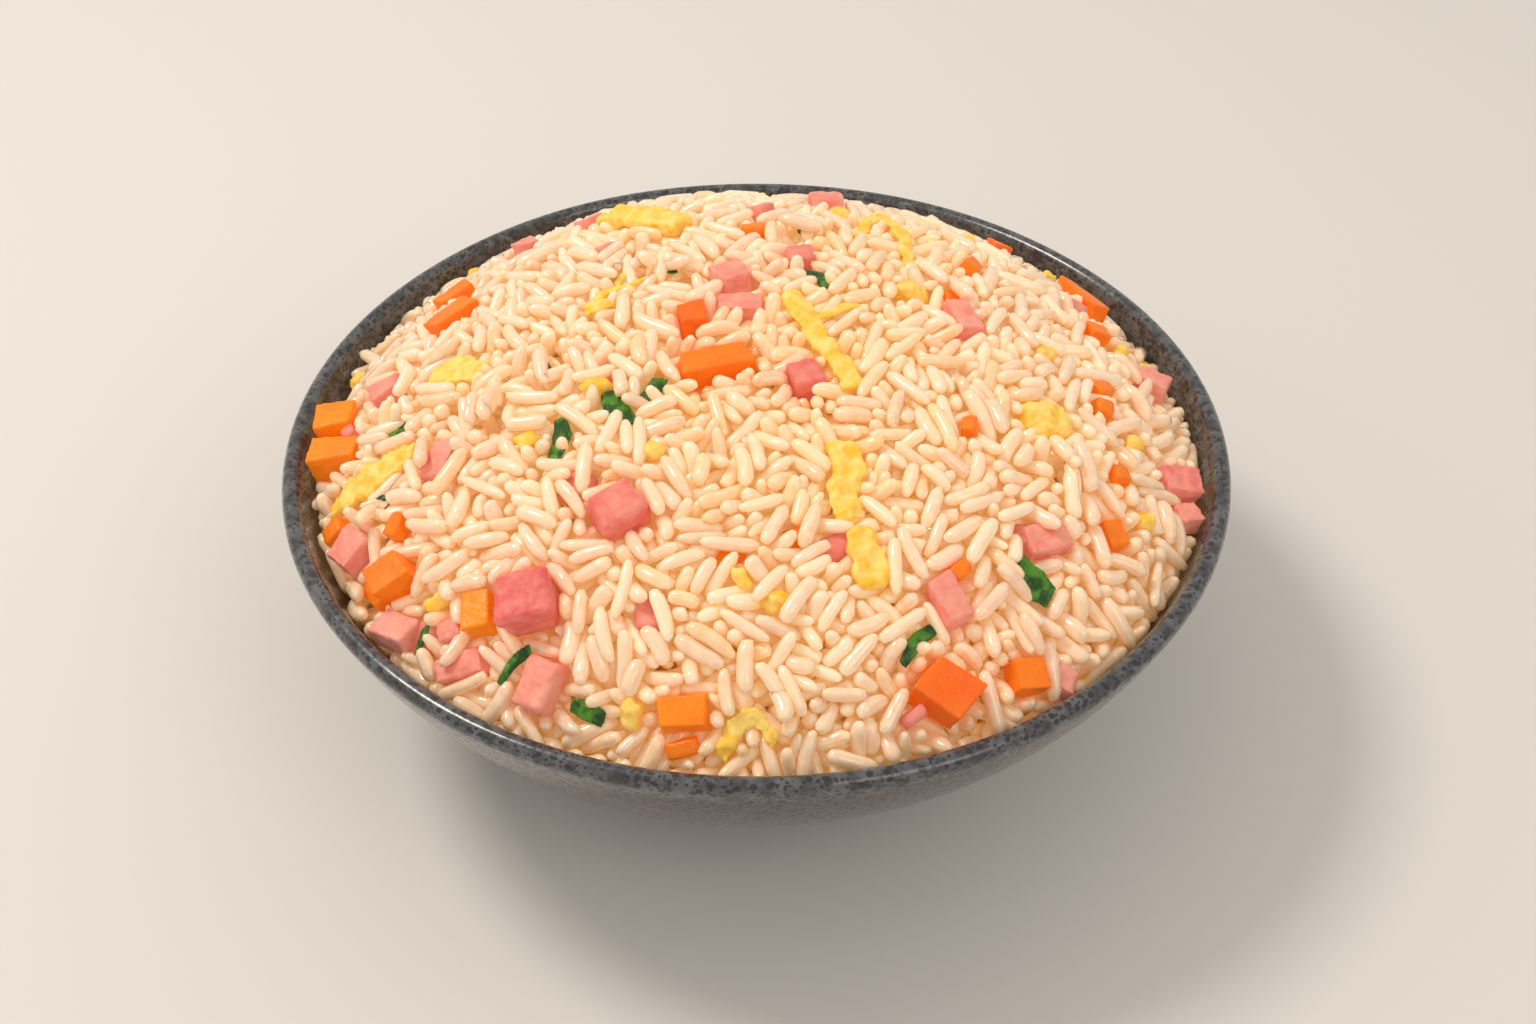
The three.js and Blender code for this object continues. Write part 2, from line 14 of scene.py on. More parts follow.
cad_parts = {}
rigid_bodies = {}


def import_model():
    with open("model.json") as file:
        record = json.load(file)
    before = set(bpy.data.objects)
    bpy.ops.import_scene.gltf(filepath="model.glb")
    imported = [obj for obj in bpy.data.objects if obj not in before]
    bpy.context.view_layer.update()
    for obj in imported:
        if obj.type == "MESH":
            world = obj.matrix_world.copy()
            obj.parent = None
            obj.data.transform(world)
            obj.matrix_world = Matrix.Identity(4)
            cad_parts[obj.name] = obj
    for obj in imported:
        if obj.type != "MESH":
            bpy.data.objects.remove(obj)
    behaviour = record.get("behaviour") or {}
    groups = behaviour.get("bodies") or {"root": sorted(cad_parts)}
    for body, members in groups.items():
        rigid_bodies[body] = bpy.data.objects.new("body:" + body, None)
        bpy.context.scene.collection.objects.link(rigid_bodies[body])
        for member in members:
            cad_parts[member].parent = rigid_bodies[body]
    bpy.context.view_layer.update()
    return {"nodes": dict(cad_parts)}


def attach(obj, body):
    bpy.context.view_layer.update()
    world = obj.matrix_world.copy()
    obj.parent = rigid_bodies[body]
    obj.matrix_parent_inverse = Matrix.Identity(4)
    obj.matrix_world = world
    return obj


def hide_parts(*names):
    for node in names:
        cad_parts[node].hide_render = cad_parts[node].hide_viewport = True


bl_info = {
    "name": "Fried rice bowl",
    "version": (1, 0, 0),
    "blender": (4, 5, 0),
    "location": "3D View > Sidebar > Fried rice",
    "description": "Builds a bowl of fried rice with its toppings, floor, lights and camera",
    "category": "Add Mesh",
}

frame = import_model()
MM = 0.001

# The bowl, as in the solids, in millimetres
RIM_RADIUS = 80.0
RIM_HEIGHT = 49.2
WALL = 3.2
SLOPE_AT_RIM = math.radians(70)
SLOPE_AT_FOOT = math.radians(12)
FOOT_RADIUS = 32.0
FOOT_WIDTH = 4.0
FOOT_RECESS = 2.4
FOOT_TAPER = 0.6
WALL_ARC = (RIM_RADIUS - FOOT_RADIUS) / (math.sin(SLOPE_AT_RIM) - math.sin(SLOPE_AT_FOOT))
LIP_CENTRE = np.array([RIM_RADIUS - WALL / 2, RIM_HEIGHT - WALL / 2])
INWARD_AT_RIM = np.array([-math.sin(SLOPE_AT_RIM), math.cos(SLOPE_AT_RIM)])
ARC_CENTRE = LIP_CENTRE + (WALL_ARC - WALL / 2) * INWARD_AT_RIM

# The heap, as in the solids
HEAP_EDGE_DROP = 5.7
HEAP_RISE = 25.0
HEAP_FULLNESS = 3.2
HEAP_SWELL = 0.45
GAP = 0.35
LINING_ARC = WALL_ARC - WALL - GAP
HEAP_EDGE_HEIGHT = RIM_HEIGHT - HEAP_EDGE_DROP
HEAP_EDGE_BELOW = ARC_CENTRE[1] - HEAP_EDGE_HEIGHT
HEAP_EDGE_RADIUS = ARC_CENTRE[0] + math.sqrt(LINING_ARC**2 - HEAP_EDGE_BELOW**2)

# The camera, fitted to the photograph: a point on the bowl's axis at AIM_HEIGHT falls on AIM_PIXEL
PICTURE_SIZE = (1536, 1024)
FOCAL_PIXELS = 1986.0
CAMERA_DISTANCE = 340.0
CAMERA_ELEVATION = math.radians(39.15)
AIM_HEIGHT = 48.0
AIM_PIXEL = (753.5, 436.1)


class Value:
    """A number that varies over a surface, so that sums with it make Math nodes."""

    def __init__(self, graph, socket):
        self.graph = graph
        self.socket = socket

    def math(self, operation, *operands):
        sockets = {i: operand for i, operand in enumerate(operands)}
        node = self.graph.node("ShaderNodeMath", {"operation": operation}, sockets)
        return Value(self.graph, node.outputs[0])

    def __add__(self, other):
        return self.math("ADD", self, other)

    def __sub__(self, other):
        return self.math("SUBTRACT", self, other)

    def __mul__(self, other):
        return self.math("MULTIPLY", self, other)

    def __pow__(self, other):
        return self.math("POWER", self, other)

    def __rsub__(self, other):
        return self.math("SUBTRACT", other, self)

    __radd__ = __add__
    __rmul__ = __mul__

    def ramp(self, low, high):
        """0 below low, 1 above high and a smooth rise between them."""
        settings = {"interpolation_type": "SMOOTHSTEP", "clamp": True}
        sockets = {"Value": self, "From Min": low, "From Max": high}
        return Value(self.graph, self.graph.node("ShaderNodeMapRange", settings, sockets).outputs[0])


class Graph:
    """A node tree that is written as expressions."""

    def __init__(self, tree):
        self.tree = tree
        tree.nodes.clear()

    def node(self, kind, settings=None, sockets=None):
        node = self.tree.nodes.new(kind)
        for name, value in (settings or {}).items():
            setattr(node, name, value)
        for key, value in (sockets or {}).items():
            self.feed(node.inputs[key], value)
        return node

    def feed(self, socket, value):
        source = value.socket if isinstance(value, Value) else value
        if isinstance(source, bpy.types.NodeSocket):
            self.tree.links.new(source, socket)
        else:
            socket.default_value = source

    def coordinates(self, stretch=(1, 1, 1)):
        place = self.node("ShaderNodeTexCoord").outputs["Object"]
        mapping = self.node("ShaderNodeMapping", {}, {"Vector": place, "Scale": stretch})
        return mapping.outputs[0]

    def noise(self, size_mm, detail=3.0, roughness=0.55, stretch=(1, 1, 1)):
        """Noise between 0 and 1 whose lumps are about size_mm wide."""
        sockets = {
            "Vector": self.coordinates(stretch),
            "Scale": 1 / (size_mm * MM),
            "Detail": detail,
            "Roughness": roughness,
        }
        return Value(self, self.node("ShaderNodeTexNoise", {}, sockets).outputs[0])

    def cells(self, size_mm, stretch=(1, 1, 1)):
        """Distance from the nearest of scattered points, about size_mm apart."""
        sockets = {"Vector": self.coordinates(stretch), "Scale": 1 / (size_mm * MM)}
        return Value(self, self.node("ShaderNodeTexVoronoi", {}, sockets).outputs[0])

    def mix(self, share, first, second, blend="MIX"):
        settings = {"data_type": "RGBA", "blend_type": blend}
        node = self.node("ShaderNodeMix", settings, {0: share, 6: first, 7: second})
        return node.outputs[2]

    def attribute(self, name, output="Color"):
        return self.node("ShaderNodeAttribute", {"attribute_name": name}).outputs[output]

    def bump(self, height, depth_mm):
        sockets = {"Height": height, "Distance": depth_mm * MM, "Strength": 1.0}
        return self.node("ShaderNodeBump", {}, sockets).outputs[0]


def colour(red, green, blue):
    return (red, green, blue, 1.0)


def surface(name, paint, **constants):
    """A material whose Principled shader has constant sockets and what paint(graph) returns for the rest."""
    material = bpy.data.materials.new(name)
    material.use_nodes = True
    graph = Graph(material.node_tree)
    sockets = {key.replace("_", " "): value for key, value in constants.items()}
    sockets.update(paint(graph))
    shader = graph.node("ShaderNodeBsdfPrincipled", {}, sockets)
    graph.node("ShaderNodeOutputMaterial", {}, {"Surface": shader.outputs[0]})
    return material


def rice_material(settings):
    """Cooked rice: ivory and wet, with its tint from what lies next to it, partly painted colour bleed, and a
    painted glow that stands in for light that wanders in it.
    """

    def paint(graph):
        mottle = graph.noise(1.8, 1)
        tint = graph.attribute("tint")
        return {
            "Base Color": graph.mix(mottle.ramp(0.35, 0.75) * 0.45, tint, settings.pale),
            # Painted glow: each grain gives off light of its own tint, standing in for light that wanders in
            # the rice
            "Emission Color": graph.mix(1.0, tint, settings.glow, "MULTIPLY"),
            "Roughness": mottle * 0.2 + 0.06,
            "Normal": graph.bump(mottle, 0.16),
        }

    return surface(
        "moist rice",
        paint,
        IOR=1.45,
        Coat_Weight=0.75,
        Coat_Roughness=0.05,
        Emission_Strength=0.15,
        Subsurface_Weight=1.0,
        Subsurface_Radius=(1.0, 0.85, 0.7),
        Subsurface_Scale=1.5 * MM,
    )


def bed_material(settings):
    """The rice deep in the heap, seen only through the gaps, darker than the grains as painted shade, and
    with a faint painted glow.
    """

    def paint(graph):
        shade = graph.noise(2.5, 3).ramp(0.35, 0.7)
        body = graph.mix(shade, settings.shadow, settings.deep)
        return {"Base Color": body, "Emission Color": graph.mix(1.0, body, settings.glow, "MULTIPLY")}

    return surface("rice in the gaps", paint, Roughness=0.5, Emission_Strength=0.1)


def ham_material(settings):
    """Cooked ham: pink, mottled with paler fat and darker lean, with a faint painted glow of its own colour.
    """

    def paint(graph):
        lean = graph.noise(3.2, 4, 0.6, (1, 1, 1.6)).ramp(0.3, 0.7)
        fat = graph.noise(1.1, 3, 0.6).ramp(0.62, 0.78)
        shade = Value(graph, graph.attribute("shade", "Fac"))
        flesh = graph.mix(lean * 0.45 + shade * 0.6, settings.ham_pale, settings.ham_deep)
        fibre = graph.noise(0.35, 2, 0.6, (1, 3, 1))
        return {
            "Base Color": graph.mix(fat * 0.4, flesh, colour(0.95, 0.5, 0.42)),
            # Painted glow: the ham gives off light of its own colour
            "Emission Color": flesh,
            "Roughness": fibre * 0.2 + 0.2,
            "Normal": graph.bump(fibre * 0.5 + lean * 0.5, 0.16),
        }

    return surface(
        "cooked ham",
        paint,
        IOR=1.4,
        Emission_Strength=0.1,
        Subsurface_Weight=0.4,
        Subsurface_Radius=(1.0, 0.4, 0.3),
        Subsurface_Scale=1.2 * MM,
    )


def carrot_material(settings):
    """Cooked carrot: orange, with a fine pitted cut, a wet sheen and a faint painted glow of its own colour.
    """

    def paint(graph):
        ring = graph.noise(4.5, 3).ramp(0.35, 0.7)
        pits = graph.cells(0.42).ramp(0.12, 0.42)
        shade = Value(graph, graph.attribute("shade", "Fac"))
        depth = ring * 0.2 + shade * 0.85
        flesh = graph.mix(depth, settings.carrot_bright, settings.carrot_deep)
        return {
            "Base Color": graph.mix(pits, graph.mix(0.35, flesh, colour(1.0, 0.4, 0.06)), flesh),
            # Painted glow: the carrot gives off light of its own colour
            "Emission Color": flesh,
            "Roughness": pits * 0.14 + 0.24,
            "Normal": graph.bump(pits, 0.09),
        }

    return surface(
        "cooked carrot",
        paint,
        IOR=1.42,
        Emission_Strength=0.15,
        Subsurface_Weight=0.35,
        Subsurface_Radius=(1.0, 0.3, 0.08),
        Subsurface_Scale=1.0 * MM,
    )


def egg_material(settings):
    """Scrambled egg: soft yellow with paler curds, and a faint painted glow."""

    def paint(graph):
        curd = graph.noise(2.6, 4, 0.6).ramp(0.35, 0.6)
        fine = graph.noise(0.55, 3, 0.6)
        return {
            "Base Color": graph.mix(curd, settings.egg_bright, settings.egg_pale),
            "Roughness": fine * 0.2 + 0.32,
            "Normal": graph.bump(fine * 0.6 + curd * 0.4, 0.2),
        }

    return surface(
        "soft egg",
        paint,
        IOR=1.4,
        # Painted glow: the egg gives off a yellow light of its own
        Emission_Color=colour(1.0, 0.6, 0.05),
        Emission_Strength=0.13,
        Subsurface_Weight=0.45,
        Subsurface_Radius=(1.0, 0.75, 0.3),
        Subsurface_Scale=1.0 * MM,
    )


def scallion_material(settings):
    """Scallion leaf: dark green with paler veins, glossy."""

    def paint(graph):
        veins = graph.noise(0.55, 2, 0.5, (1, 0.25, 1)).ramp(0.45, 0.75)
        patches = graph.noise(3.0, 2).ramp(0.42, 0.66)
        leaf = graph.mix(patches, settings.scallion_dark, settings.scallion_light)
        return {
            "Base Color": graph.mix(veins * 0.5, leaf, colour(0.13, 0.3, 0.03)),
            "Roughness": veins * 0.15 + 0.2,
            "Normal": graph.bump(veins, 0.08),
        }

    return surface("scallion leaf", paint, IOR=1.45, Subsurface_Weight=0.15, Subsurface_Scale=0.6 * MM)


# The heights between which the lip's slate fades in, and the line where the lining begins, in millimetres
LIP_FADE = (RIM_HEIGHT - 5.2, RIM_HEIGHT - 3.2)
INSIDE_AT_RIM = RIM_RADIUS - 2.2
INSIDE_SLOPE = 0.36


def glaze_material(settings):
    """Speckled stoneware: slate lip, brown-grey body, black specks and a glossy coat."""

    def paint(graph):
        place = graph.node("ShaderNodeTexCoord").outputs["Object"]
        axes = graph.node("ShaderNodeSeparateXYZ", {}, {0: place}).outputs
        height = Value(graph, axes[2])
        east, north = Value(graph, axes[0]), Value(graph, axes[1])
        from_axis = (east * east + north * north) ** 0.5
        wander = (graph.noise(9, 3) - 0.5) * (3.0 * MM)
        lip = (height + wander).ramp(LIP_FADE[0] * MM, LIP_FADE[1] * MM)
        wall_here = (height - RIM_HEIGHT * MM) * INSIDE_SLOPE + INSIDE_AT_RIM * MM
        inside = (wall_here - from_axis).ramp(-0.3 * MM, 0.3 * MM)
        streaks = graph.noise(1.4, 4, 0.65, (1, 1, 2.4)).ramp(0.3, 0.72)
        body = graph.mix(streaks, settings.body_dark, settings.body_light)
        # Brown patches at random over the inside of the bowl
        brown_patch = graph.noise(3.0, 4, 0.65).ramp(0.5, 0.72)
        lining = graph.mix(brown_patch * 0.7, settings.lining, settings.brown_patch)
        cloud = graph.noise(2.6, 3, 0.6).ramp(0.3, 0.7)
        slate = graph.mix(cloud, settings.slate, settings.slate_pale)
        ground = graph.mix(lip, graph.mix(inside, body, lining), slate)
        coarse = 1 - graph.cells(1.7, (1, 1, 1.5)).ramp(0.3, 0.38)
        fine = 1 - graph.cells(0.9, (1, 1, 1.5)).ramp(0.3, 0.4)
        specks = (coarse + fine * 0.8).ramp(0.1, 0.9)
        relief = graph.noise(2.2, 3)
        return {
            "Base Color": graph.mix(specks * 0.92, ground, settings.speck),
            "Roughness": specks * 0.12 + graph.noise(1.5, 3) * 0.16 + 0.2,
            "Normal": graph.bump(relief * 0.7 + specks * 0.3, 0.1),
        }

    return surface("speckled stoneware glaze", paint, IOR=1.5, Coat_Weight=0.7, Coat_Roughness=0.1)


def floor_material(settings):
    def paint(graph):
        return {"Base Color": settings.floor}

    return surface("pale floor", paint, Roughness=0.7)


def add_piece(name, mesh, material, replaced=()):
    """A finished piece of the object, which stays with the only body."""
    piece = bpy.data.objects.new(name, mesh)
    bpy.context.scene.collection.objects.link(piece)
    mesh.materials.clear()
    mesh.materials.append(material)
    for face in mesh.polygons:
        face.use_smooth = True
    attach(piece, "root")
    if replaced:
        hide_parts(*replaced)
    return piece


def mesh_of(name, points, faces):
    """A mesh from points in millimetres."""
    mesh = bpy.data.meshes.new(name)
    mesh.from_pydata((np.asarray(points) * MM).tolist(), [], faces)
    mesh.update()
    return mesh


def mesh_from(shape, name):
    """A mesh from an edited shape, which is freed."""
    mesh = bpy.data.meshes.new(name)
    shape.to_mesh(mesh)
    shape.free()
    return mesh


def tube_faces(sides, rings):
    """Faces over a first tip, rings of points and a last tip."""
    last = 1 + rings * sides
    top = last - sides
    faces = []
    for i in range(sides):
        j = (i + 1) % sides
        faces.append((0, 1 + j, 1 + i))
        for low in range(1, top, sides):
            high = low + sides
            faces.append((low + i, low + j, high + j, high + i))
        faces.append((last, top + i, top + j))
    return faces


def closed_tube(name, points, sides, rings):
    """A mesh from a first tip, rings of points and a last tip, in the points' own unit."""
    mesh = bpy.data.meshes.new(name)
    mesh.from_pydata(points, [], tube_faces(sides, rings))
    return mesh


def lathe(name, profile, segments, wobble):
    """A closed shape turned about Z from a profile that starts and ends on the axis."""
    points = [(0.0, 0.0, profile[0][1])]
    for radius, height in profile[1:-1]:
        for i in range(segments):
            angle = 2 * math.pi * i / segments
            lift = wobble(angle, (radius, height))
            points.append((radius * math.cos(angle), radius * math.sin(angle), height + lift))
    points.append((0.0, 0.0, profile[-1][1]))
    return mesh_of(name, points, tube_faces(segments, len(profile) - 2))


def wall_point(radius, slope):
    return ARC_CENTRE + radius * np.array([math.sin(slope), -math.cos(slope)])


def bowl_profile():
    outer = [wall_point(WALL_ARC, s) for s in np.linspace(SLOPE_AT_FOOT, SLOPE_AT_RIM, 26)]
    lip_turns = np.radians(np.linspace(-20, 160, 13))
    lip = [LIP_CENTRE + WALL / 2 * np.array([math.cos(t), math.sin(t)]) for t in lip_turns]
    inner = [wall_point(WALL_ARC - WALL, s) for s in np.linspace(SLOPE_AT_RIM, 0, 22)]
    foot_outside = FOOT_RADIUS - FOOT_TAPER
    foot_inside = FOOT_RADIUS - FOOT_WIDTH
    foot = [
        (0.0, FOOT_RECESS),
        (foot_inside - 1.6, FOOT_RECESS),
        (foot_inside - FOOT_TAPER, FOOT_RECESS - 0.5),
        (foot_inside - 0.2, 0.4),
        (foot_inside + 0.4, 0.0),
        (foot_outside - 0.5, 0.0),
        (foot_outside, 0.4),
        (foot_outside + 0.3, 2.0),
    ]
    floor = (0.0, ARC_CENTRE[1] - WALL_ARC + WALL)
    return [*foot, *outer, *lip[1:], *inner[1:], floor]


def heap_height(x, y):
    """Height of the heap's surface, under the backs of the grains."""
    share = np.minimum(np.hypot(x, y) / HEAP_EDGE_RADIUS, 1)
    swell = np.sin(x / 10 + 0.7) * np.cos(y / 12 - 0.5) + np.sin((x + y) / 17)
    return HEAP_EDGE_HEIGHT + HEAP_RISE * (1 - share**HEAP_FULLNESS) + HEAP_SWELL * swell * (1 - share**6)


def heap_normal(x, y):
    step = 0.5
    east = (heap_height(x - step, y) - heap_height(x + step, y)) / (2 * step)
    north = (heap_height(x, y - step) - heap_height(x, y + step)) / (2 * step)
    normal = np.stack([east, north, np.ones_like(east)], axis=-1)
    return normal / np.linalg.norm(normal, axis=-1, keepdims=True)


def inner_wall_radius(height):
    """Radius of the bowl's inside at a height."""
    reach = (WALL_ARC - WALL) ** 2 - (ARC_CENTRE[1] - np.minimum(height, RIM_HEIGHT)) ** 2
    return ARC_CENTRE[0] + np.sqrt(np.maximum(reach, 0))


def tone(name, description, *levels):
    """A colour setting with linear levels of red, green and blue."""
    return FloatVectorProperty(
        name=name, description=description, subtype="COLOR", size=4, default=colour(*levels)
    )


def grain_count(name, description, default):
    return IntProperty(name=name, description=description, default=default, min=1)


class RiceSettings(bpy.types.PropertyGroup):
    top_count: grain_count("Grains on top", "Grains in the upper layer", 1560)
    middle_count: grain_count("Grains below", "Grains in the second layer", 1420)
    deep_count: grain_count("Deep grains", "Grains in the third layer", 1280)
    length: FloatProperty(name="Length", description="Mean length", default=7.9 * MM, unit="LENGTH")
    width: FloatProperty(name="Width", description="Mean width", default=2.46 * MM, unit="LENGTH")
    seed: IntProperty(name="Seed", description="Which random heap", default=7)
    plain: tone("Rice", "Colour of most grains", 0.97, 0.74, 0.565)
    pale: tone("Pale rice", "Colour of the palest parts of a grain", 0.98, 0.83, 0.7)
    # Painted shade between the grains: the darkest and palest colours of the bed
    shadow: tone("Gap", "Darkest colour between the grains", 0.44, 0.21, 0.065)
    deep: tone("Deep rice", "Palest colour between the grains", 0.75, 0.48, 0.22)
    # Painted glow: tint of the light that the rice and its bed give off, standing in for light that wanders
    # in the rice
    glow: tone("Glow", "Tint of the light that wanders in the rice", 1.0, 0.72, 0.3)


class ToppingSettings(bpy.types.PropertyGroup):
    ham_pale: tone("Pale ham", "Colour of the ham's palest sides", 0.96, 0.45, 0.33)
    ham_deep: tone("Deep ham", "Colour of the ham's lean parts", 0.78, 0.13, 0.12)
    carrot_bright: tone("Bright carrot", "Colour of the palest carrot", 0.98, 0.3, 0.004)
    carrot_deep: tone("Deep carrot", "Colour of the reddest carrot", 0.9, 0.1, 0.006)
    egg_bright: tone("Bright egg", "Colour of the deepest yellow", 0.98, 0.55, 0.045)
    egg_pale: tone("Pale egg", "Colour of the curds", 0.99, 0.71, 0.21)
    scallion_dark: tone("Dark leaf", "Colour of the darkest leaf", 0.012, 0.075, 0.008)
    scallion_light: tone("Light leaf", "Colour of the palest leaf", 0.1, 0.34, 0.02)


class BowlSettings(bpy.types.PropertyGroup):
    segments: IntProperty(name="Segments", description="Steps round the bowl", default=240, min=24)
    slate: tone("Lip", "Colour of the lip", 0.027, 0.03, 0.035)
    slate_pale: tone("Pale lip", "Colour of the lip's pale clouds", 0.12, 0.126, 0.138)
    body_dark: tone("Body", "Colour of the outside", 0.03, 0.019, 0.014)
    body_light: tone("Pale body", "Colour of the outside's pale streaks", 0.085, 0.056, 0.042)
    lining: tone("Inside", "Colour of the inside", 0.04, 0.042, 0.046)
    brown_patch: tone("Rust", "Colour of the inside's brown patches", 0.12, 0.05, 0.03)
    speck: tone("Specks", "Colour of the specks", 0.008, 0.008, 0.009)


class StageSettings(bpy.types.PropertyGroup):
    floor: tone("Floor", "Colour of the floor", 0.8, 0.78, 0.75)
    key_power: FloatProperty(
        name="Key light", description="Power of the main light", default=3.5, unit="POWER"
    )
    fill_power: FloatProperty(
        name="Fill light", description="Power of the fill light", default=1.2, unit="POWER"
    )
    sky: FloatProperty(name="Sky", description="Strength of the light from all round", default=0.62)


def swirl(x, y):
    """Mean heading of the grains at a place in plan, in radians, which turns slowly over the heap."""
    return 2.4 * np.sin(x / 17 + 1) + 2.1 * np.cos(y / 15 + x / 31)


def closest_between(start_a, end_a, start_b, end_b):
    """Shares along two sets of segments at which each pair is closest."""
    along_a, along_b, between = end_a - start_a, end_b - start_b, start_a - start_b
    aa = np.einsum("ij,ij->i", along_a, along_a)
    bb = np.einsum("ij,ij->i", along_b, along_b)
    ab = np.einsum("ij,ij->i", along_a, along_b)
    ac = np.einsum("ij,ij->i", along_a, between)
    bc = np.einsum("ij,ij->i", along_b, between)
    spread = np.maximum(aa * bb - ab * ab, 1e-9)
    share_a = np.clip((ab * bc - ac * bb) / spread, 0, 1)
    share_b = np.clip((ab * share_a + bc) / bb, 0, 1)
    share_a = np.clip((ab * share_b - ac) / aa, 0, 1)
    return share_a, share_b


class Pile:
    """Grains as capsules that are pushed until they no longer cross each other, the bowl or the toppings."""

    # Depth of each layer under the heap's surface, and spreads and room in plan, in millimetres
    LAYER_DEPTHS = (-0.3, -2.2, -4.1)
    DEPTH_SPREAD = 0.35
    PLAN_SPREAD = 0.9
    EDGE_ROOM = 1.2
    # The turn from one grain to the next on the spiral, in half turns
    GOLDEN_TURN = 3 - math.sqrt(5)
    # Sizes as shares of the mean width or length, and the share of grains that are broken
    RADIUS_SPREAD = 0.05
    LEAST_RADIUS = 0.42
    GREATEST_RADIUS = 0.58
    LENGTH_SPREAD = 0.15
    LEAST_LENGTH = 0.66
    GREATEST_LENGTH = 1.3
    BROKEN_SHARE = 0.12
    BROKEN_LENGTHS = (0.5, 0.75)
    # Heading about the swirl and lean, in radians, and the share of grains that may stand up
    HEADING_SPREAD = 0.9
    LEAN_SPREAD = 0.36
    STANDING_SHARE = 0.08
    STANDING_LEAN = 1.0
    # Least distance between two grains' axes, as a share of both radii together
    CLOSENESS = 0.97
    # Share of each fault that one round mends
    PART_SHARE = 0.42
    LAYER_PULL = 0.08
    TIP_PULL = 0.4
    TOPPING_PUSH = 0.7
    # Heights, gaps and reaches in millimetres
    TIP_HEIGHT = 1.7
    WALL_GAP = 0.15
    TOPPING_GAP = 0.12
    TOPPING_REACH = 3.2
    HIDES_BELOW = 5.0
    HIDES_BEHIND = 6.0
    # Grains may touch if their middles are nearer than so many mean half lengths and this room
    SEARCH_HALVES = 2.2
    SEARCH_ROOM = 5.5
    # Rounds from one search for neighbours to the next
    SEARCH_EVERY = 10
    # Rounds from one clearing of the toppings to the next, and how many of the last rounds all clear them
    CLEAR_EVERY = 3
    CLEAR_LAST = 5

    def __init__(self, counts, length, width, seed, obstacles, shown):
        rng = np.random.default_rng(seed)
        self.obstacles = obstacles
        self.shown = shown
        x, y = self.scatter(counts, rng)
        self.draw_sizes(length, width, rng)
        self.lay(x, y, rng)
        self.roll = rng.uniform(0, 2 * math.pi, self.count)
        self.shape = rng.integers(0, GRAIN_SHAPES, self.count)

    def scatter(self, counts, rng):
        """Places in plan, with each layer spread evenly over the heap's surface on a spiral."""
        radii = np.linspace(0, HEAP_EDGE_RADIUS - self.EDGE_ROOM, 200)
        area = np.cumsum(radii / heap_normal(radii, np.zeros(200))[:, 2])
        places, depths = [], []
        for count, depth in zip(counts, self.LAYER_DEPTHS):
            index = np.arange(count) + 0.5
            radius = np.interp(index / count, area / area[-1], radii)
            turn = index * math.pi * self.GOLDEN_TURN + rng.uniform(0, 6)
            jitter = rng.normal(0, self.PLAN_SPREAD, (2, count))
            places.append(np.stack([radius * np.cos(turn), radius * np.sin(turn)]) + jitter)
            depths.append(np.full(count, depth) + rng.normal(0, self.DEPTH_SPREAD, count))
        self.depth = np.concatenate(depths)
        self.count = len(self.depth)
        return np.concatenate(places, axis=1)

    def draw_sizes(self, length, width, rng):
        """Radius, length and half the length between the caps' centres of each grain."""
        radius = rng.normal(width / 2, self.RADIUS_SPREAD * width, self.count)
        self.radius = radius.clip(self.LEAST_RADIUS * width, self.GREATEST_RADIUS * width)
        whole = rng.normal(length, self.LENGTH_SPREAD * length, self.count)
        self.length = whole.clip(self.LEAST_LENGTH * length, self.GREATEST_LENGTH * length)
        broken = rng.random(self.count) < self.BROKEN_SHARE
        self.length[broken] *= rng.uniform(*self.BROKEN_LENGTHS, broken.sum())
        self.half = self.length / 2 - self.radius

    def lay(self, x, y, rng):
        """Lays grains along the surface, roughly as their neighbours lie, with some of them upright."""
        normal = heap_normal(x, y)
        heading = swirl(x, y) + rng.normal(0, self.HEADING_SPREAD, self.count)
        flat = np.stack([np.cos(heading), np.sin(heading), np.zeros(self.count)], axis=1)
        flat -= np.einsum("ij,ij->i", flat, normal)[:, None] * normal
        flat /= np.linalg.norm(flat, axis=1, keepdims=True)
        lean = rng.normal(0, self.LEAN_SPREAD, self.count)
        standing = rng.random(self.count) < self.STANDING_SHARE
        upright = rng.uniform(-self.STANDING_LEAN, self.STANDING_LEAN, self.count)
        lean = np.where(standing, upright, lean)
        along = flat * np.cos(lean)[:, None] + normal * np.sin(lean)[:, None]
        self.stretch(np.stack([x, y, heap_height(x, y)], axis=1) + normal * self.depth[:, None], along)

    def middle(self):
        return (self.start + self.end) / 2

    def points_at(self, share):
        """A point on each grain at a share of its length."""
        return self.start + (self.end - self.start) * share

    def stretch(self, middle, along):
        """Lays every grain out about its middle at its own length."""
        self.start = middle - along * self.half[:, None]
        self.end = middle + along * self.half[:, None]

    def neighbours(self, reach):
        """Both members of every pair of grains whose middles are within reach."""
        middle = self.middle()
        first, second = [], []
        for i in range(self.count - 1):
            offset = middle[i + 1 :] - middle[i]
            near = np.nonzero(np.einsum("ij,ij->i", offset, offset) < reach**2)[0] + i + 1
            first.append(np.full(len(near), i))
            second.append(near)
        return np.concatenate(first), np.concatenate(second)

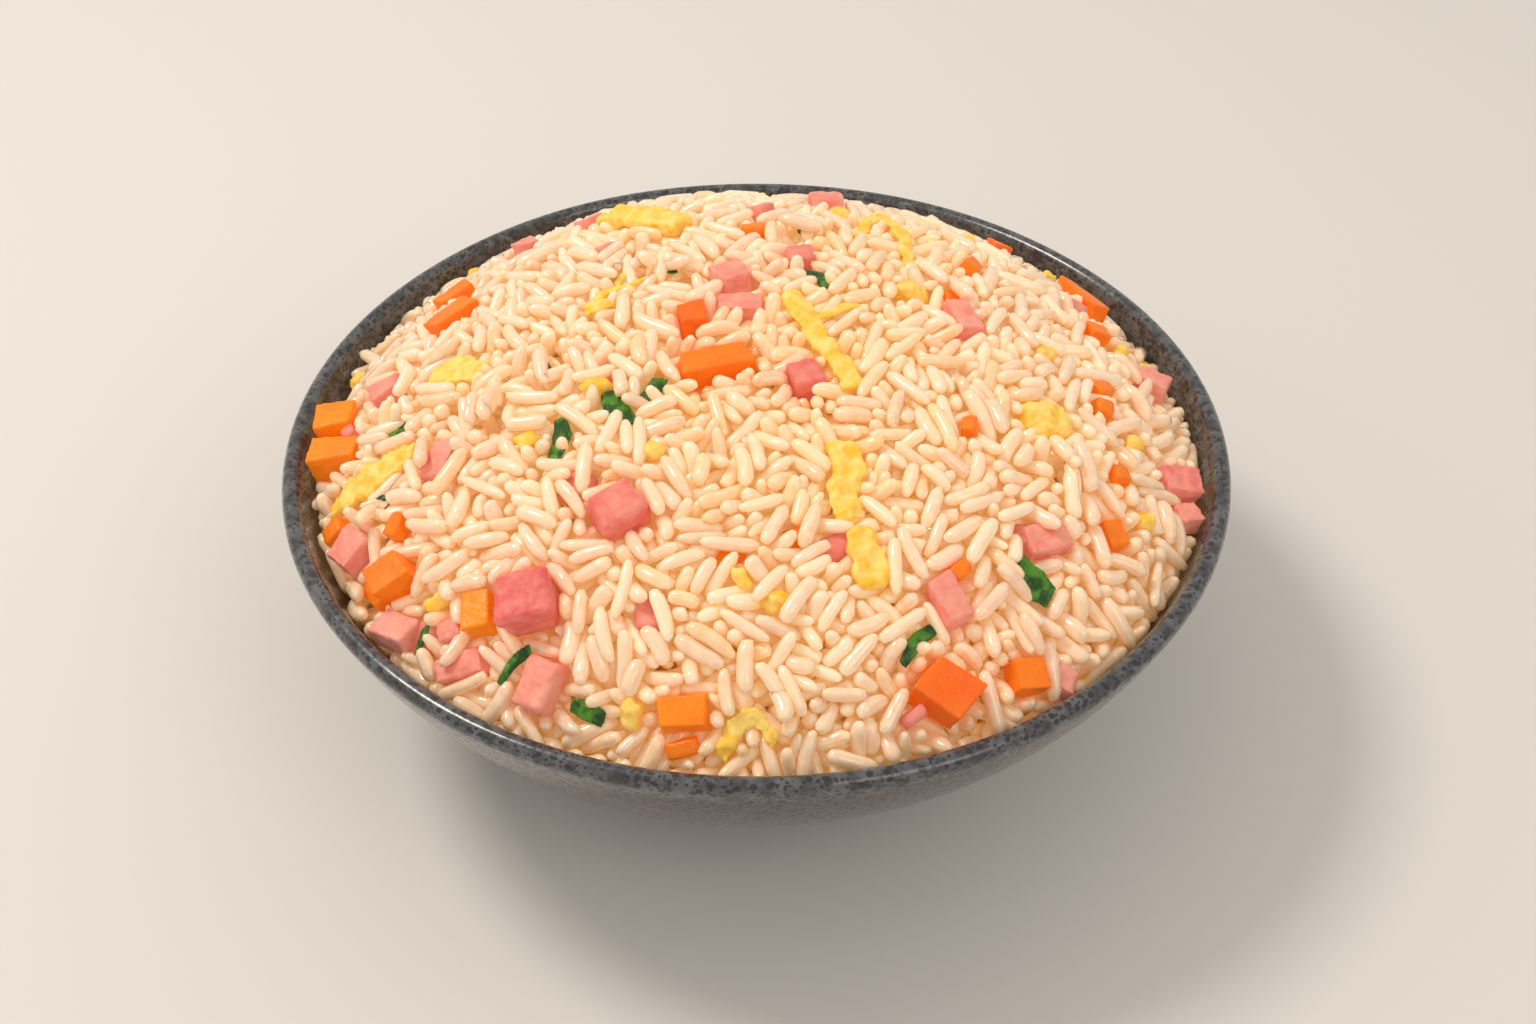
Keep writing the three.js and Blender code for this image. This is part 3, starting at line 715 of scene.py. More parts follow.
    def part_pairs(self, first, second):
        start_a, end_a = self.start[first], self.end[first]
        start_b, end_b = self.start[second], self.end[second]
        share_a, share_b = closest_between(start_a, end_a, start_b, end_b)
        at_a = start_a + (end_a - start_a) * share_a[:, None]
        at_b = start_b + (end_b - start_b) * share_b[:, None]
        offset = at_a - at_b
        distance = np.maximum(np.linalg.norm(offset, axis=1), 1e-6)
        depth = (self.radius[first] + self.radius[second]) * self.CLOSENESS - distance
        touching = depth > 0
        push = offset[touching] / distance[touching, None] * depth[touching, None] * self.PART_SHARE
        for index, share, sign in ((first, share_a, 1), (second, share_b, -1)):
            self.shift(index[touching], share[touching], sign * push)

    def shift(self, index, share, push):
        """Moves grains so that the point at each share of their length moves by push."""
        scale = 1 / ((1 - share) ** 2 + share**2)
        np.add.at(self.start, index, push * (scale * (1 - share))[:, None])
        np.add.at(self.end, index, push * (scale * share)[:, None])

    def settle(self):
        """Draws every grain towards its layer and keeps it in the bowl."""
        middle = self.middle()
        normal = heap_normal(middle[:, 0], middle[:, 1])
        level = heap_height(middle[:, 0], middle[:, 1])
        height = (middle[:, 2] - level) * normal[:, 2]
        pull = normal * ((self.depth - height) * self.LAYER_PULL)[:, None]
        self.start += pull
        self.end += pull
        for tip in (self.start, self.end):
            level = heap_height(tip[:, 0], tip[:, 1])
            over = np.maximum(tip[:, 2] - level - self.TIP_HEIGHT, 0)
            tip[:, 2] -= self.TIP_PULL * over
        self.contain()

    def clear_obstacles(self):
        """Pushes grains off the toppings."""
        for share in (0.0, 0.5, 1.0):
            index, pushes = [], []
            for i, point in enumerate(self.points_at(share)):
                hit, normal, _, distance = self.obstacles.find_nearest(Vector(point), self.TOPPING_REACH)
                if hit is None:
                    continue
                offset = Vector(point) - hit
                inside = offset.dot(normal) < 0
                short = self.radius[i] + self.TOPPING_GAP + (distance if inside else -distance)
                if short > 0:
                    direction = normal if inside or distance < 1e-5 else offset / distance
                    index.append(i)
                    pushes.append(np.array(direction) * short * self.TOPPING_PUSH)
            if index:
                self.shift(np.array(index), np.full(len(index), share), np.array(pushes))

    def keep_length(self):
        """Gives every grain its own length back about its middle."""
        along = self.end - self.start
        along /= np.linalg.norm(along, axis=1, keepdims=True)
        self.stretch(self.middle(), along)

    def drop(self, gone):
        """Takes grains out of the pile."""
        for name in ("start", "end", "radius", "length", "half", "depth", "roll", "shape"):
            setattr(self, name, getattr(self, name)[~gone])
        self.count = len(self.half)

    def covering(self, direction, reach):
        """How many of five points along each grain have a topping within reach in a direction."""
        hits = np.zeros(self.count, int)
        for share in np.linspace(0, 1, 5):
            for i, point in enumerate(self.points_at(share)):
                if self.shown.ray_cast(Vector(point), direction, reach)[0] is not None:
                    hits[i] += 1
        return hits

    def uncover_top(self):
        """Takes away the grains that lie on a topping with two or more of their points."""
        self.drop(self.covering(Vector((0, 0, -1)), self.HIDES_BELOW) >= 2)

    def uncover_front(self):
        """Takes away the upper grains that hide a topping from the front with three or more points."""
        away = Vector((0, math.cos(CAMERA_ELEVATION), -math.sin(CAMERA_ELEVATION)))
        top = self.depth > (self.LAYER_DEPTHS[0] + self.LAYER_DEPTHS[1]) / 2
        self.drop(top & (self.covering(away, self.HIDES_BEHIND) >= 3))

    def contain(self):
        """Draws tips in from the bowl's wall."""
        for tip in (self.start, self.end):
            radius = np.hypot(tip[:, 0], tip[:, 1])
            limit = inner_wall_radius(tip[:, 2]) - self.radius - self.WALL_GAP
            tip[:, :2] *= np.minimum(limit / np.maximum(radius, 1e-6), 1)[:, None]

    def relax(self, rounds):
        """Settles and parts the grains, and keeps them off the toppings."""
        for step in range(rounds):
            if step % self.SEARCH_EVERY == 0:
                reach = self.SEARCH_HALVES * self.half.mean() + self.SEARCH_ROOM
                first, second = self.neighbours(reach)
            self.settle()
            self.part_pairs(first, second)
            if step % self.CLEAR_EVERY == 0 or step >= rounds - self.CLEAR_LAST:
                self.clear_obstacles()
            self.keep_length()


# How many forms of grain there are, and the sides and rings of each
GRAIN_SHAPES = 12
GRAIN_SIDES = 8
GRAIN_RINGS = 6


def grain_mesh(number):
    """One form of cooked grain, 1 long and 1 wide: straight, bent, blunt, waisted or with a split tip."""
    rng = np.random.default_rng(100 + number)
    bend = rng.uniform(0.02, 0.1) * rng.choice([-1, 1])
    bluntness = rng.uniform(3.2, 5.5)
    taper = rng.uniform(-0.14, 0.14)
    waist = rng.uniform(-0.02, 0.06)
    split = 0.3 if number % 4 == 1 else 0.0
    points = [(-0.5, bend, 0.0)]
    for ring in range(GRAIN_RINGS):
        along = math.sin((2 * (ring + 1) / (GRAIN_RINGS + 1) - 1) * math.pi / 2)
        girth = 0.5 * math.sqrt(1 - abs(along) ** bluntness)
        girth *= 1 + taper * along - waist * math.cos(math.pi * along)
        for i in range(GRAIN_SIDES):
            angle = 2 * math.pi * i / GRAIN_SIDES
            reach = girth * (1 - 0.08 * max(math.cos(angle - 1), 0) ** 4)
            if ring == GRAIN_RINGS - 1:
                reach *= 1 + split * math.cos(2 * angle)
            side = bend * (2 * along**2 - 1) + reach * math.cos(angle)
            points.append((along * 0.5, side, 0.94 * reach * math.sin(angle)))
    points.append((0.5 - split * 0.05, bend, 0.0))
    return closed_tube(f"grain form {number}", points, GRAIN_SIDES, GRAIN_RINGS)


def cut_cube(number):
    """A small uneven dice, 1 wide, with soft edges."""
    shape = bmesh.new()
    bmesh.ops.create_cube(shape, size=1.0)
    bmesh.ops.subdivide_edges(shape, edges=shape.edges[:], cuts=4, use_grid_fill=True)
    for vertex in shape.verts:
        vertex.co = vertex.co.lerp(vertex.co.normalized() * 0.6, 0.25)
        vertex.co += vertex.co.normalized() * 0.12 * lumps(vertex.co, 0.6, 10 + number)
    return mesh_from(shape, f"cube {number}")


def curd(number):
    """A small crumb of egg, about 1 wide."""
    shape = bmesh.new()
    bmesh.ops.create_icosphere(shape, subdivisions=3, radius=0.5)
    for vertex in shape.verts:
        vertex.co *= 1 + 0.45 * lumps(vertex.co, 0.35, 20 + number) + 0.3 * lumps(vertex.co, 0.8, 30 + number)
    return mesh_from(shape, f"curd {number}")


def leaf_scrap(number):
    """A small curled cut of leaf, 1 long and 1 wide."""
    points = [(-0.5, 0.0, 0.0)]
    rings = 5
    for ring in range(rings):
        along = (ring + 1) / (rings + 1) - 0.5
        half_width = 0.5 * math.cos(along * (1.6 + 0.3 * number))
        for across, lift in ((-1, 0), (-0.4, 0.1), (0.4, 0.1), (1, 0), (0.4, -0.1), (-0.4, -0.1)):
            curl = 0.5 * (across * half_width) ** 2 * (1 + number) - 0.6 * along**2
            points.append((along, across * half_width, curl + lift * 0.6))
    points.append((0.5, 0.0, 0.0))
    return closed_tube(f"leaf scrap {number}", points, 6, rings)


def shred_mesh(route, width, lift, number):
    """A thin shred along a plan route over the heap, flat, narrow at its tips and uneven; in millimetres."""
    line = np.array(route, float)
    reach = np.concatenate([[0], np.cumsum(np.linalg.norm(np.diff(line, axis=0), axis=1))])
    rings, sides = 16, 8
    shares = np.linspace(0, 1, rings + 2)
    east, north = (np.interp(shares * reach[-1], reach, line[:, k]) for k in range(2))
    centre = np.stack([east, north, heap_height(east, north) + lift], axis=1)
    along = np.gradient(centre, axis=0)
    along /= np.linalg.norm(along, axis=1, keepdims=True)
    side = np.cross(heap_normal(east, north), along)
    up = np.cross(along, side)
    points = [centre[0]]
    for ring in range(1, rings + 1):
        half = width / 2 * (0.5 + 0.5 * math.sin(math.pi * shares[ring]))
        half *= 1 + 0.5 * lumps(Vector(centre[ring]), 1.3, number)
        for i in range(sides):
            angle = 2 * math.pi * i / sides
            outward = math.cos(angle) * side[ring] + 0.55 * math.sin(angle) * up[ring]
            points.append(centre[ring] + half * outward)
    points.append(centre[-1])
    return closed_tube(f"shred {number}", [tuple(point * MM) for point in points], sides, rings)


def thin_shreds(name, shreds, material):
    """All thin shreds of one topping as one mesh."""
    shape = bmesh.new()
    for number, shred in enumerate(shreds):
        shape.from_mesh(shred_mesh(*shred, number))
    return add_piece(name, mesh_from(shape, name), material, ["rice_heap"])


def scatter_tree(material):
    """Geometry Nodes that put one of a collection's forms on each point, by the point's own attributes."""
    tree = bpy.data.node_groups.new("scatter forms", "GeometryNodeTree")
    interface = tree.interface
    interface.new_socket("Points", in_out="INPUT", socket_type="NodeSocketGeometry")
    interface.new_socket("Forms", in_out="INPUT", socket_type="NodeSocketCollection")
    interface.new_socket("Size", in_out="INPUT", socket_type="NodeSocketFloat").default_value = 1.0
    interface.new_socket("Geometry", in_out="OUTPUT", socket_type="NodeSocketGeometry")
    graph = Graph(tree)

    def point_attribute(name, kind):
        return graph.node("GeometryNodeInputNamedAttribute", {"data_type": kind}, {"Name": name}).outputs[0]

    given = graph.node("NodeGroupInput").outputs
    forms = graph.node(
        "GeometryNodeCollectionInfo",
        {"transform_space": "ORIGINAL"},
        {"Collection": given["Forms"], "Separate Children": True, "Reset Children": True},
    )
    size = graph.node(
        "ShaderNodeVectorMath",
        {"operation": "SCALE"},
        {0: point_attribute("size", "FLOAT_VECTOR"), "Scale": given["Size"]},
    )
    placed = graph.node(
        "GeometryNodeInstanceOnPoints",
        {},
        {
            "Points": given["Points"],
            "Instance": forms.outputs[0],
            "Pick Instance": True,
            "Instance Index": point_attribute("form", "INT"),
            "Rotation": point_attribute("turn", "QUATERNION"),
            "Scale": size.outputs[0],
        },
    )
    real = graph.node("GeometryNodeRealizeInstances", {}, {"Geometry": placed.outputs[0]})
    painted = graph.node("GeometryNodeSetMaterial", {}, {"Geometry": real.outputs[0], "Material": material})
    graph.node("NodeGroupOutput", {}, {"Geometry": painted.outputs[0]})
    return tree


def scattered(name, forms, places, turns, sizes, picks, tints, material):
    """A plain mesh of forms scattered on places; forms are meshes, and the rest is one row for each place."""
    shelf = bpy.data.collections.new(f"{name} forms")
    bpy.context.scene.collection.children.link(shelf)
    for i, form in enumerate(forms):
        shelf.objects.link(bpy.data.objects.new(f"{name} form {i:02d}", form))
    points = bpy.data.meshes.new(f"{name} points")
    points.from_pydata((places * MM).tolist(), [], [])
    for key, kind, field, rows in (
        ("turn", "QUATERNION", "value", turns),
        ("size", "FLOAT_VECTOR", "vector", sizes * MM),
        ("form", "INT", "value", picks),
        ("tint", "FLOAT_COLOR", "color", tints),
    ):
        attribute = points.attributes.new(key, kind, "POINT")
        numbers = np.asarray(rows, dtype=np.int32 if kind == "INT" else np.float32)
        attribute.data.foreach_set(field, numbers.ravel())
    carrier = bpy.data.objects.new(f"{name} carrier", points)
    modifier = carrier.modifiers.new("scatter", "NODES")
    tree = scatter_tree(material)
    modifier.node_group = tree
    sockets = {item.name: item.identifier for item in tree.interface.items_tree if item.in_out == "INPUT"}
    modifier[sockets["Forms"]] = shelf
    mesh = baked(carrier)
    mesh.name = name
    for form_object in list(shelf.objects):
        bpy.data.objects.remove(form_object)
    bpy.data.collections.remove(shelf)
    return mesh


def baked(carrier):
    """What the modifiers of an object make, as a plain mesh; the object is removed."""
    bpy.context.scene.collection.objects.link(carrier)
    bpy.context.view_layer.update()
    evaluated = carrier.evaluated_get(bpy.context.evaluated_depsgraph_get())
    mesh = bpy.data.meshes.new_from_object(evaluated)
    bpy.data.objects.remove(carrier)
    return mesh


def turns_along(start, end, roll):
    """Quaternions that lay a form's X along each grain, rolled about it."""
    rows = []
    for first, last, angle in zip(start, end, roll):
        along = Vector(last - first).normalized()
        base = along.to_track_quat("X", "Z")
        spin = Matrix.Rotation(angle, 3, "X").to_quaternion()
        rows.append(tuple(base @ spin))
    return np.array(rows)


def node_points(node):
    data = frame["nodes"][node].data
    points = np.empty(len(data.vertices) * 3)
    data.vertices.foreach_get("co", points)
    return points.reshape(-1, 3) / MM


def topping_nodes(*kinds):
    return sorted(node for node in frame["nodes"] if node.split("_")[0] in kinds)


def surfaces_of(meshes):
    """The surfaces of several meshes as one search tree in millimetres."""
    points, faces = [], []
    for mesh in meshes:
        first = len(points)
        points.extend(vertex.co / MM for vertex in mesh.vertices)
        faces.extend([first + i for i in face.vertices] for face in mesh.polygons)
    return BVHTree.FromPolygons(points, faces)


def topping_surfaces():
    """What grains stay clear of, and of that what they don't hide."""
    nodes = topping_nodes("ham", "carrot", "egg", "scallion")
    bits = [bpy.data.objects[name].data for name in (*(f"small_{kind}" for kind in BITS), "thin_egg")]
    buried_bits = [bpy.data.objects[f"buried_{kind}"].data for kind in BURIED_BITS]
    shown = [frame["nodes"][node].data for node in nodes if node not in BURIED]
    hidden = [frame["nodes"][node].data for node in nodes if node in BURIED]
    return surfaces_of([*shown, *hidden, *bits, *buried_bits]), surfaces_of([*shown, *bits])


# Small bits: east and north on the heap, length, width and height in millimetres, and turn in degrees
BITS = {
    "ham": [
        (-25.5, 28.5, 4.5, 3.5, 3, 20), (1, 43.5, 4.5, 3.5, 3, 50), (7.5, 22.5, 4.5, 3.5, 3, 10),
        (-68, -2.1, 5, 2.5, 3, 120), (56.6, 27.2, 4, 3, 3, 0), (-30.2, 47.1, 5, 4, 3, 30),
        (22.4, -65.8, 4, 2, 2, 40),
    ],
    "carrot": [
        (-68, -23.8, 4, 3.5, 3, 20), (-56, -29.8, 4, 3, 3, 60), (-0.5, 32, 4, 3.5, 3, 10),
        (57, -2, 4, 3, 3, 40), (37.5, 27, 4, 3, 3, 70), (29.9, -46.2, 3, 2.5, 3, 45),
        (56.4, -7, 3, 3, 3, 0), (57.8, -20.4, 3, 3, 2, 15), (-11, -72, 4.5, 2.5, 2, 10),
        (33.3, -20.7, 3, 2.5, 2, 80),
    ],
    "egg": [
        (-26, 10, 5, 4, 3, 20), (-26, -12, 5, 3, 3, 15), (-18.4, -65.7, 4.5, 3.5, 3, 80),
        (61.5, -11.5, 4, 3, 3, 40), (61.4, -26.6, 4, 3, 3, 70), (-48.7, -45, 4, 3, 3, 30),
        (-2.6, -50.2, 4, 2.5, 2.5, 120), (2.7, -53.4, 4, 3, 3, 10), (-15.7, -27.8, 3.5, 3, 2.5, 50),
        (-58.3, 53.5, 5, 4, 3, 35), (38.3, 41.9, 4, 3, 3, 15), (35.2, 69.8, 5, 4, 3, 0),
        (47.8, 2.2, 4, 3, 3, 60), (68.3, 16.5, 4, 3, 3, 20), (62.9, 15.9, 4, 3, 3, 70),
        (-71, 16.5, 4, 3, 3, 50), (-35.5, -22.6, 4, 3.5, 2.5, 15),
    ],
    "scallion": [
        (-34.3, -6, 6, 2.5, 2, 110), (-59.5, -24, 4, 2.5, 2, 30), (-15.4, 20, 5, 2.5, 2, 150),
        (49, -22.5, 4, 2.5, 2, 60), (-67.5, 18, 4, 2.5, 2, 70), (-44, -13, 4, 2.5, 2, 20),
        (8.5, 33.5, 4, 2.5, 2, 80), (-23.2, 23.9, 4, 2.5, 2, 150), (39, -51.5, 4, 1.5, 2, 160),
        (-58, -7.9, 4, 2.5, 2, 100),
    ],
}
BURIED_BITS = {
    "ham": [
        (-23, -6.5, 5, 4, 2.5, 70), (50, 27, 5, 4, 3, 35), (-51.6, -48.5, 6, 5, 3, 15),
        (-27.8, -32.4, 6, 4, 2.5, 60), (42.5, -37.5, 5, 4, 3, 15), (12, -44, 5, 4, 3, 30),
        (-16, -54, 5, 4, 3, 80),
    ],
    "carrot": [
        (-45, 9.1, 5, 3, 2, 20), (-61.5, -38.8, 5, 3, 3, 130), (-4, -46, 5, 3, 3, 60),
        (6, -43, 4, 3, 3, 20), (34.1, 16.6, 4, 3, 3, 30), (-14, 52, 5, 4, 3, 60),
    ],
}
# Toppings that the grains lie over
BURIED = ("ham_15", "ham_19", "ham_20", "ham_21")
# Thin shreds of egg: a route in plan, width and lift off the heap in millimetres
EGG_SHREDS = (
    ([(-28.5, 7.3), (-27.6, 10.6), (-26, 13.6), (-22.4, 14.8), (-18.4, 17)], 1.7, 1.6),
    ([(-23.4, 14.4), (-23.6, 16.9), (-22.4, 19)], 1.3, 1.6),
    ([(9.4, 2.6), (12.4, 3.8), (14.6, 5.8), (17.4, 6.4)], 1.6, 1.7),
    ([(48.6, -22.6), (51.8, -21), (54.8, -21.8)], 1.1, 1.3),
)
BIT_FORMS = {"ham": cut_cube, "carrot": cut_cube, "egg": curd, "scallion": leaf_scrap}
# Height of the bits over the heap's surface and their room at the wall, in millimetres
BIT_LIFT = 0.9
BURIED_LIFT = -1.1
WALL_ROOM = 1.2
BIT_SHADE = 0.4


def drawn_in(x, y, room):
    """Places in plan, moved towards the axis where they are nearer than room to the heap's edge."""
    reach = np.hypot(x, y)
    share = np.minimum((HEAP_EDGE_RADIUS - room) / np.maximum(reach, 1e-6), 1)
    return x * share, y * share


def small_bits(name, kind, bits, lift, material):
    """The bits of one topping that are too small to be pieces of their own, as one mesh."""
    rows = np.array(bits, float)
    rng = np.random.default_rng(len(kind))
    x, y = drawn_in(rows[:, 0], rows[:, 1], rows[:, 2] / 2 + WALL_ROOM)
    normal = heap_normal(x, y)
    places = np.stack([x, y, heap_height(x, y)], axis=1) + normal * lift
    turns = []
    for up, degrees in zip(normal, rows[:, 5]):
        lean = Vector((0, 0, 1)).rotation_difference(Vector(up))
        spin = Matrix.Rotation(math.radians(degrees), 3, "Z").to_quaternion()
        tilt = Matrix.Rotation(rng.uniform(-0.5, 0.5), 3, "X").to_quaternion()
        turns.append(tuple(lean @ spin @ tilt))
    forms = [BIT_FORMS[kind](number) for number in range(4)]
    picks = np.arange(len(rows)) % len(forms)
    tints = np.ones((len(rows), 4))
    mesh = scattered(name, forms, places, np.array(turns), rows[:, 2:5], picks, tints, material)
    shade_mesh(mesh, BIT_SHADE)
    return add_piece(name, mesh, material, ["rice_heap"])


def shade_mesh(mesh, shade):
    """Stores how deep a topping's colour is, from 0 to 1."""
    attribute = mesh.attributes.new("shade", "FLOAT", "POINT")
    attribute.data.foreach_set("value", np.full(len(mesh.vertices), shade, np.float32))


def refined(node, finish, seed):
    """A topping's solid with rounded edges and an uneven surface."""
    shape = bmesh.new()
    shape.from_mesh(frame["nodes"][node].data)
    bmesh.ops.remove_doubles(shape, verts=shape.verts, dist=1e-6)
    carrier = bpy.data.objects.new(f"{node} carrier", mesh_from(shape, f"{node} refined"))
    remesh = carrier.modifiers.new("even faces", "REMESH")
    remesh.mode = "VOXEL"
    remesh.voxel_size = finish.voxel * MM
    smooth = carrier.modifiers.new("soft edges", "SMOOTH")
    smooth.factor = 0.5
    smooth.iterations = finish.rounding
    result = baked(carrier)
    normals = [Vector(vertex.normal) for vertex in result.vertices]
    for vertex, normal in zip(result.vertices, normals):
        point = vertex.co / MM
        rise = sum(height * lumps(point, width, seed) for height, width in finish.relief)
        vertex.co += normal * (rise * MM)
    result.update()
    return result


def lumps(point, size, seed):
    """Smooth noise between -1 and 1 whose lumps are about size wide."""
    return noise.noise(point / size + Vector((seed, 0, 0)))


# Painted colour bleed: the tint that light carried through the translucent grains takes on near each topping,
# how far it reaches in millimetres, and its colour
TOPPING_BLEED = {
    "ham": (4.0, (0.93, 0.42, 0.33)),
    "carrot": (3.4, (0.96, 0.42, 0.14)),
    "egg": (4.5, (0.97, 0.68, 0.24)),
}
# Yellow towards the middle, brown of single grains, and painted shade near the bowl's rim: grey from a set
# share of the radius on
MIDDLE_YELLOW = (0.95, 0.66, 0.26)
SOAKED = (0.93, 0.6, 0.26)
SOAKED_SHARE = 0.08
RIM_SHADE_GREY = (0.72, 0.56, 0.4)
RIM_SHADE_START = 0.82
RIM_SHADE_STRENGTH = 0.65
TINT_STRENGTH = 0.45


def grain_tints(middle, settings, seed):
    """Each grain's colour: painted colour bleed, pink by ham, orange by carrot and yellow by egg; yellow
    towards the middle; painted shade, grey, at the rim.
    """
    rng = np.random.default_rng(seed)
    tint = np.tile(np.array(settings.plain[:3]), (len(middle), 1))
    tint *= rng.normal(1, 0.07, (len(middle), 1)).clip(0.8, 1.12)
    # Yellower towards the middle of the heap
    yellow = np.exp(-((middle[:, 0] + 4) ** 2 / 40**2 + (middle[:, 1] + 16) ** 2 / 30**2))
    stains_and_bleed = [
        (yellow * rng.uniform(0.1, 0.7, len(middle)), MIDDLE_YELLOW),
        (rng.random(len(middle)) < SOAKED_SHARE, SOAKED),
    ]
    # Painted colour bleed: grains near a topping take on its colour, mixed in with the real stains
    for kind, (reach, shade) in TOPPING_BLEED.items():
        corners = [node_points(node) for node in topping_nodes(kind)]
        centres = np.array([points.mean(axis=0) for points in corners])
        sizes = np.array([np.ptp(points, axis=0).max() / 2 for points in corners])
        distance = np.linalg.norm(middle[:, None] - centres[None], axis=2) - sizes[None]
        strength = np.exp(-np.maximum(distance.min(axis=1), 0) / reach)
        stains_and_bleed.append((strength * rng.uniform(0.0, 0.75, len(middle)), shade))
    for share, shade in stains_and_bleed:
        share = np.asarray(share, float)[:, None] * TINT_STRENGTH
        tint = tint * (1 - share) + np.array(shade) * share
    # Painted shade: grains near the bowl's rim are greyed
    outward = np.hypot(middle[:, 0], middle[:, 1]) / HEAP_EDGE_RADIUS
    edge = ((outward - RIM_SHADE_START) / (1 - RIM_SHADE_START)).clip(0, 1)[:, None] * RIM_SHADE_STRENGTH
    tint = tint * (1 - edge) + np.array(RIM_SHADE_GREY) * edge
    return np.concatenate([tint.clip(0, 1), np.ones((len(middle), 1))], axis=1)


def rim_wobble(angle, point):
    """Rise and fall of the thrown rim in millimetres, which fades towards the foot."""
    share = (point[1] / RIM_HEIGHT) ** 3
    return share * (0.12 * math.sin(3 * angle + 1) + 0.08 * math.sin(7 * angle))


class FRIEDRICE_OT_bowl(bpy.types.Operator):
    """Turns the stoneware bowl"""

    bl_idname = "fried_rice.bowl"
    bl_label = "Bowl"

    def execute(self, context):
        settings = context.scene.fried_rice_bowl

        mesh = lathe("bowl", bowl_profile(), settings.segments, rim_wobble)
        add_piece("stoneware_bowl", mesh, glaze_material(settings), ["bowl"])
        return {"FINISHED"}


# Rounds before and after the grains in front of toppings are taken away
FIRST_ROUNDS = 60
LAST_ROUNDS = 20
# Full width of a grain in radii of its capsule
GRAIN_GIRTH = 2.06


class FRIEDRICE_OT_rice(bpy.types.Operator):
    """Heaps the rice in the bowl: loose grains over a bed that fills the gaps"""

    bl_idname = "fried_rice.rice"
    bl_label = "Rice"

    def execute(self, context):
        settings = context.scene.fried_rice_grains
        material = rice_material(settings)
        counts = (settings.top_count, settings.middle_count, settings.deep_count)
        pile = Pile(counts, settings.length / MM, settings.width / MM, settings.seed, *topping_surfaces())
        pile.uncover_top()
        pile.relax(FIRST_ROUNDS)
        pile.uncover_top()
        pile.uncover_front()
        pile.relax(LAST_ROUNDS)
        pile.contain()
        middle = pile.middle()
        turns = turns_along(pile.start, pile.end, pile.roll)
        girth = GRAIN_GIRTH * pile.radius
        sizes = np.stack([pile.length, girth, girth], axis=1)
        tints = grain_tints(middle, settings, settings.seed)
        forms = [grain_mesh(number) for number in range(GRAIN_SHAPES)]
        layer = np.abs(pile.depth[:, None] - np.array(Pile.LAYER_DEPTHS)).argmin(axis=1)
        for number, name in enumerate(("rice_grains_top", "rice_grains_middle", "rice_grains_deep")):
            chosen = layer == number
            rows = [column[chosen] for column in (middle, turns, sizes, pile.shape, tints)]
            mesh = scattered(name, forms, *rows, material)
            add_piece(name, mesh, material, ["rice_heap"])
        bed = lathe("rice bed", bed_profile(), BED_SEGMENTS, bed_unevenness)
        add_piece("rice_bed", bed, bed_material(settings), ["rice_heap"])
        return {"FINISHED"}


# The bed: how far its top lies under the heap's surface and its bumps, in millimetres, and its steps
BED_DEPTH = 5.6
BED_BUMP = 0.9
BED_BUMP_WIDTH = 3.0
BED_SEGMENTS = 96
BED_RINGS = 40


def bed_profile():
    """Up along the bowl's lining and back over the heap, from axis to axis."""
    edge_slope = math.acos((ARC_CENTRE[1] - HEAP_EDGE_HEIGHT + BED_DEPTH) / LINING_ARC)
    lining = [wall_point(LINING_ARC, slope) for slope in np.linspace(0, edge_slope, 14)]
    shares = np.linspace(0.97, 0.03, BED_RINGS)
    top = [
        (share * lining[-1][0], HEAP_EDGE_HEIGHT + HEAP_RISE * (1 - share**HEAP_FULLNESS) - BED_DEPTH)
        for share in shares
    ]
    return [(0.0, lining[0][1]), *lining, *top, (0.0, HEAP_EDGE_HEIGHT + HEAP_RISE - BED_DEPTH)]


def bed_unevenness(angle, point):
    """Bumps on the bed's top; its sides stay true."""
    radius, height = point
    if height < HEAP_EDGE_HEIGHT - BED_DEPTH + 0.5:
        return 0.0
    place = Vector((radius * math.cos(angle), radius * math.sin(angle), 0))
    return BED_BUMP * lumps(place, BED_BUMP_WIDTH, 0)


class Finish(NamedTuple):
    """How the solids of one topping are dressed.

    voxel is the size of a face in millimetres, and rounding the number of times that the edges are softened.
    relief holds the height and width of each kind of lump, in millimetres.
    A shade is how deep the colour is, from 0 to 1: the usual one, and those of nodes that differ.
    """

    prefix: str
    voxel: float
    rounding: int
    relief: tuple
    usual_shade: float = 0.0
    shades: dict = {}


FINISHES = {
    "ham": Finish(
        prefix="diced",
        voxel=0.3,
        rounding=2,
        relief=((0.36, 3.4), (0.16, 1.1)),
        usual_shade=0.25,
        shades={"ham_01": 1.0, "ham_02": 0.75, "ham_04": 0.1, "ham_05": 0.1, "ham_07": 0.6, "ham_09": 0.9},
    ),
    "carrot": Finish(
        prefix="diced",
        voxel=0.3,
        rounding=1,
        relief=((0.14, 3.0), (0.05, 0.9)),
        usual_shade=0.45,
        shades={
            "carrot_01": 0.8, "carrot_04": 0.15, "carrot_05": 0.2, "carrot_08": 0.75,
            "carrot_11": 0.0, "carrot_12": 0.2, "carrot_14": 0.75,
        },
    ),
    "egg": Finish(prefix="soft", voxel=0.3, rounding=4, relief=((0.95, 2.6), (0.26, 0.9))),
    "scallion": Finish(prefix="sliced", voxel=0.2, rounding=4, relief=((0.08, 1.6),)),
}


def dress(kind, material):
    """Puts a finished piece in place of every solid of one topping, and adds its small bits."""
    finish = FINISHES[kind]
    for seed, node in enumerate(topping_nodes(kind)):
        mesh = refined(node, finish, seed)
        shade_mesh(mesh, finish.shades.get(node, finish.usual_shade))
        add_piece(f"{finish.prefix}_{node}", mesh, material, [node])
    small_bits(f"small_{kind}", kind, BITS[kind], BIT_LIFT, material)
    if kind in BURIED_BITS:
        small_bits(f"buried_{kind}", kind, BURIED_BITS[kind], BURIED_LIFT, material)


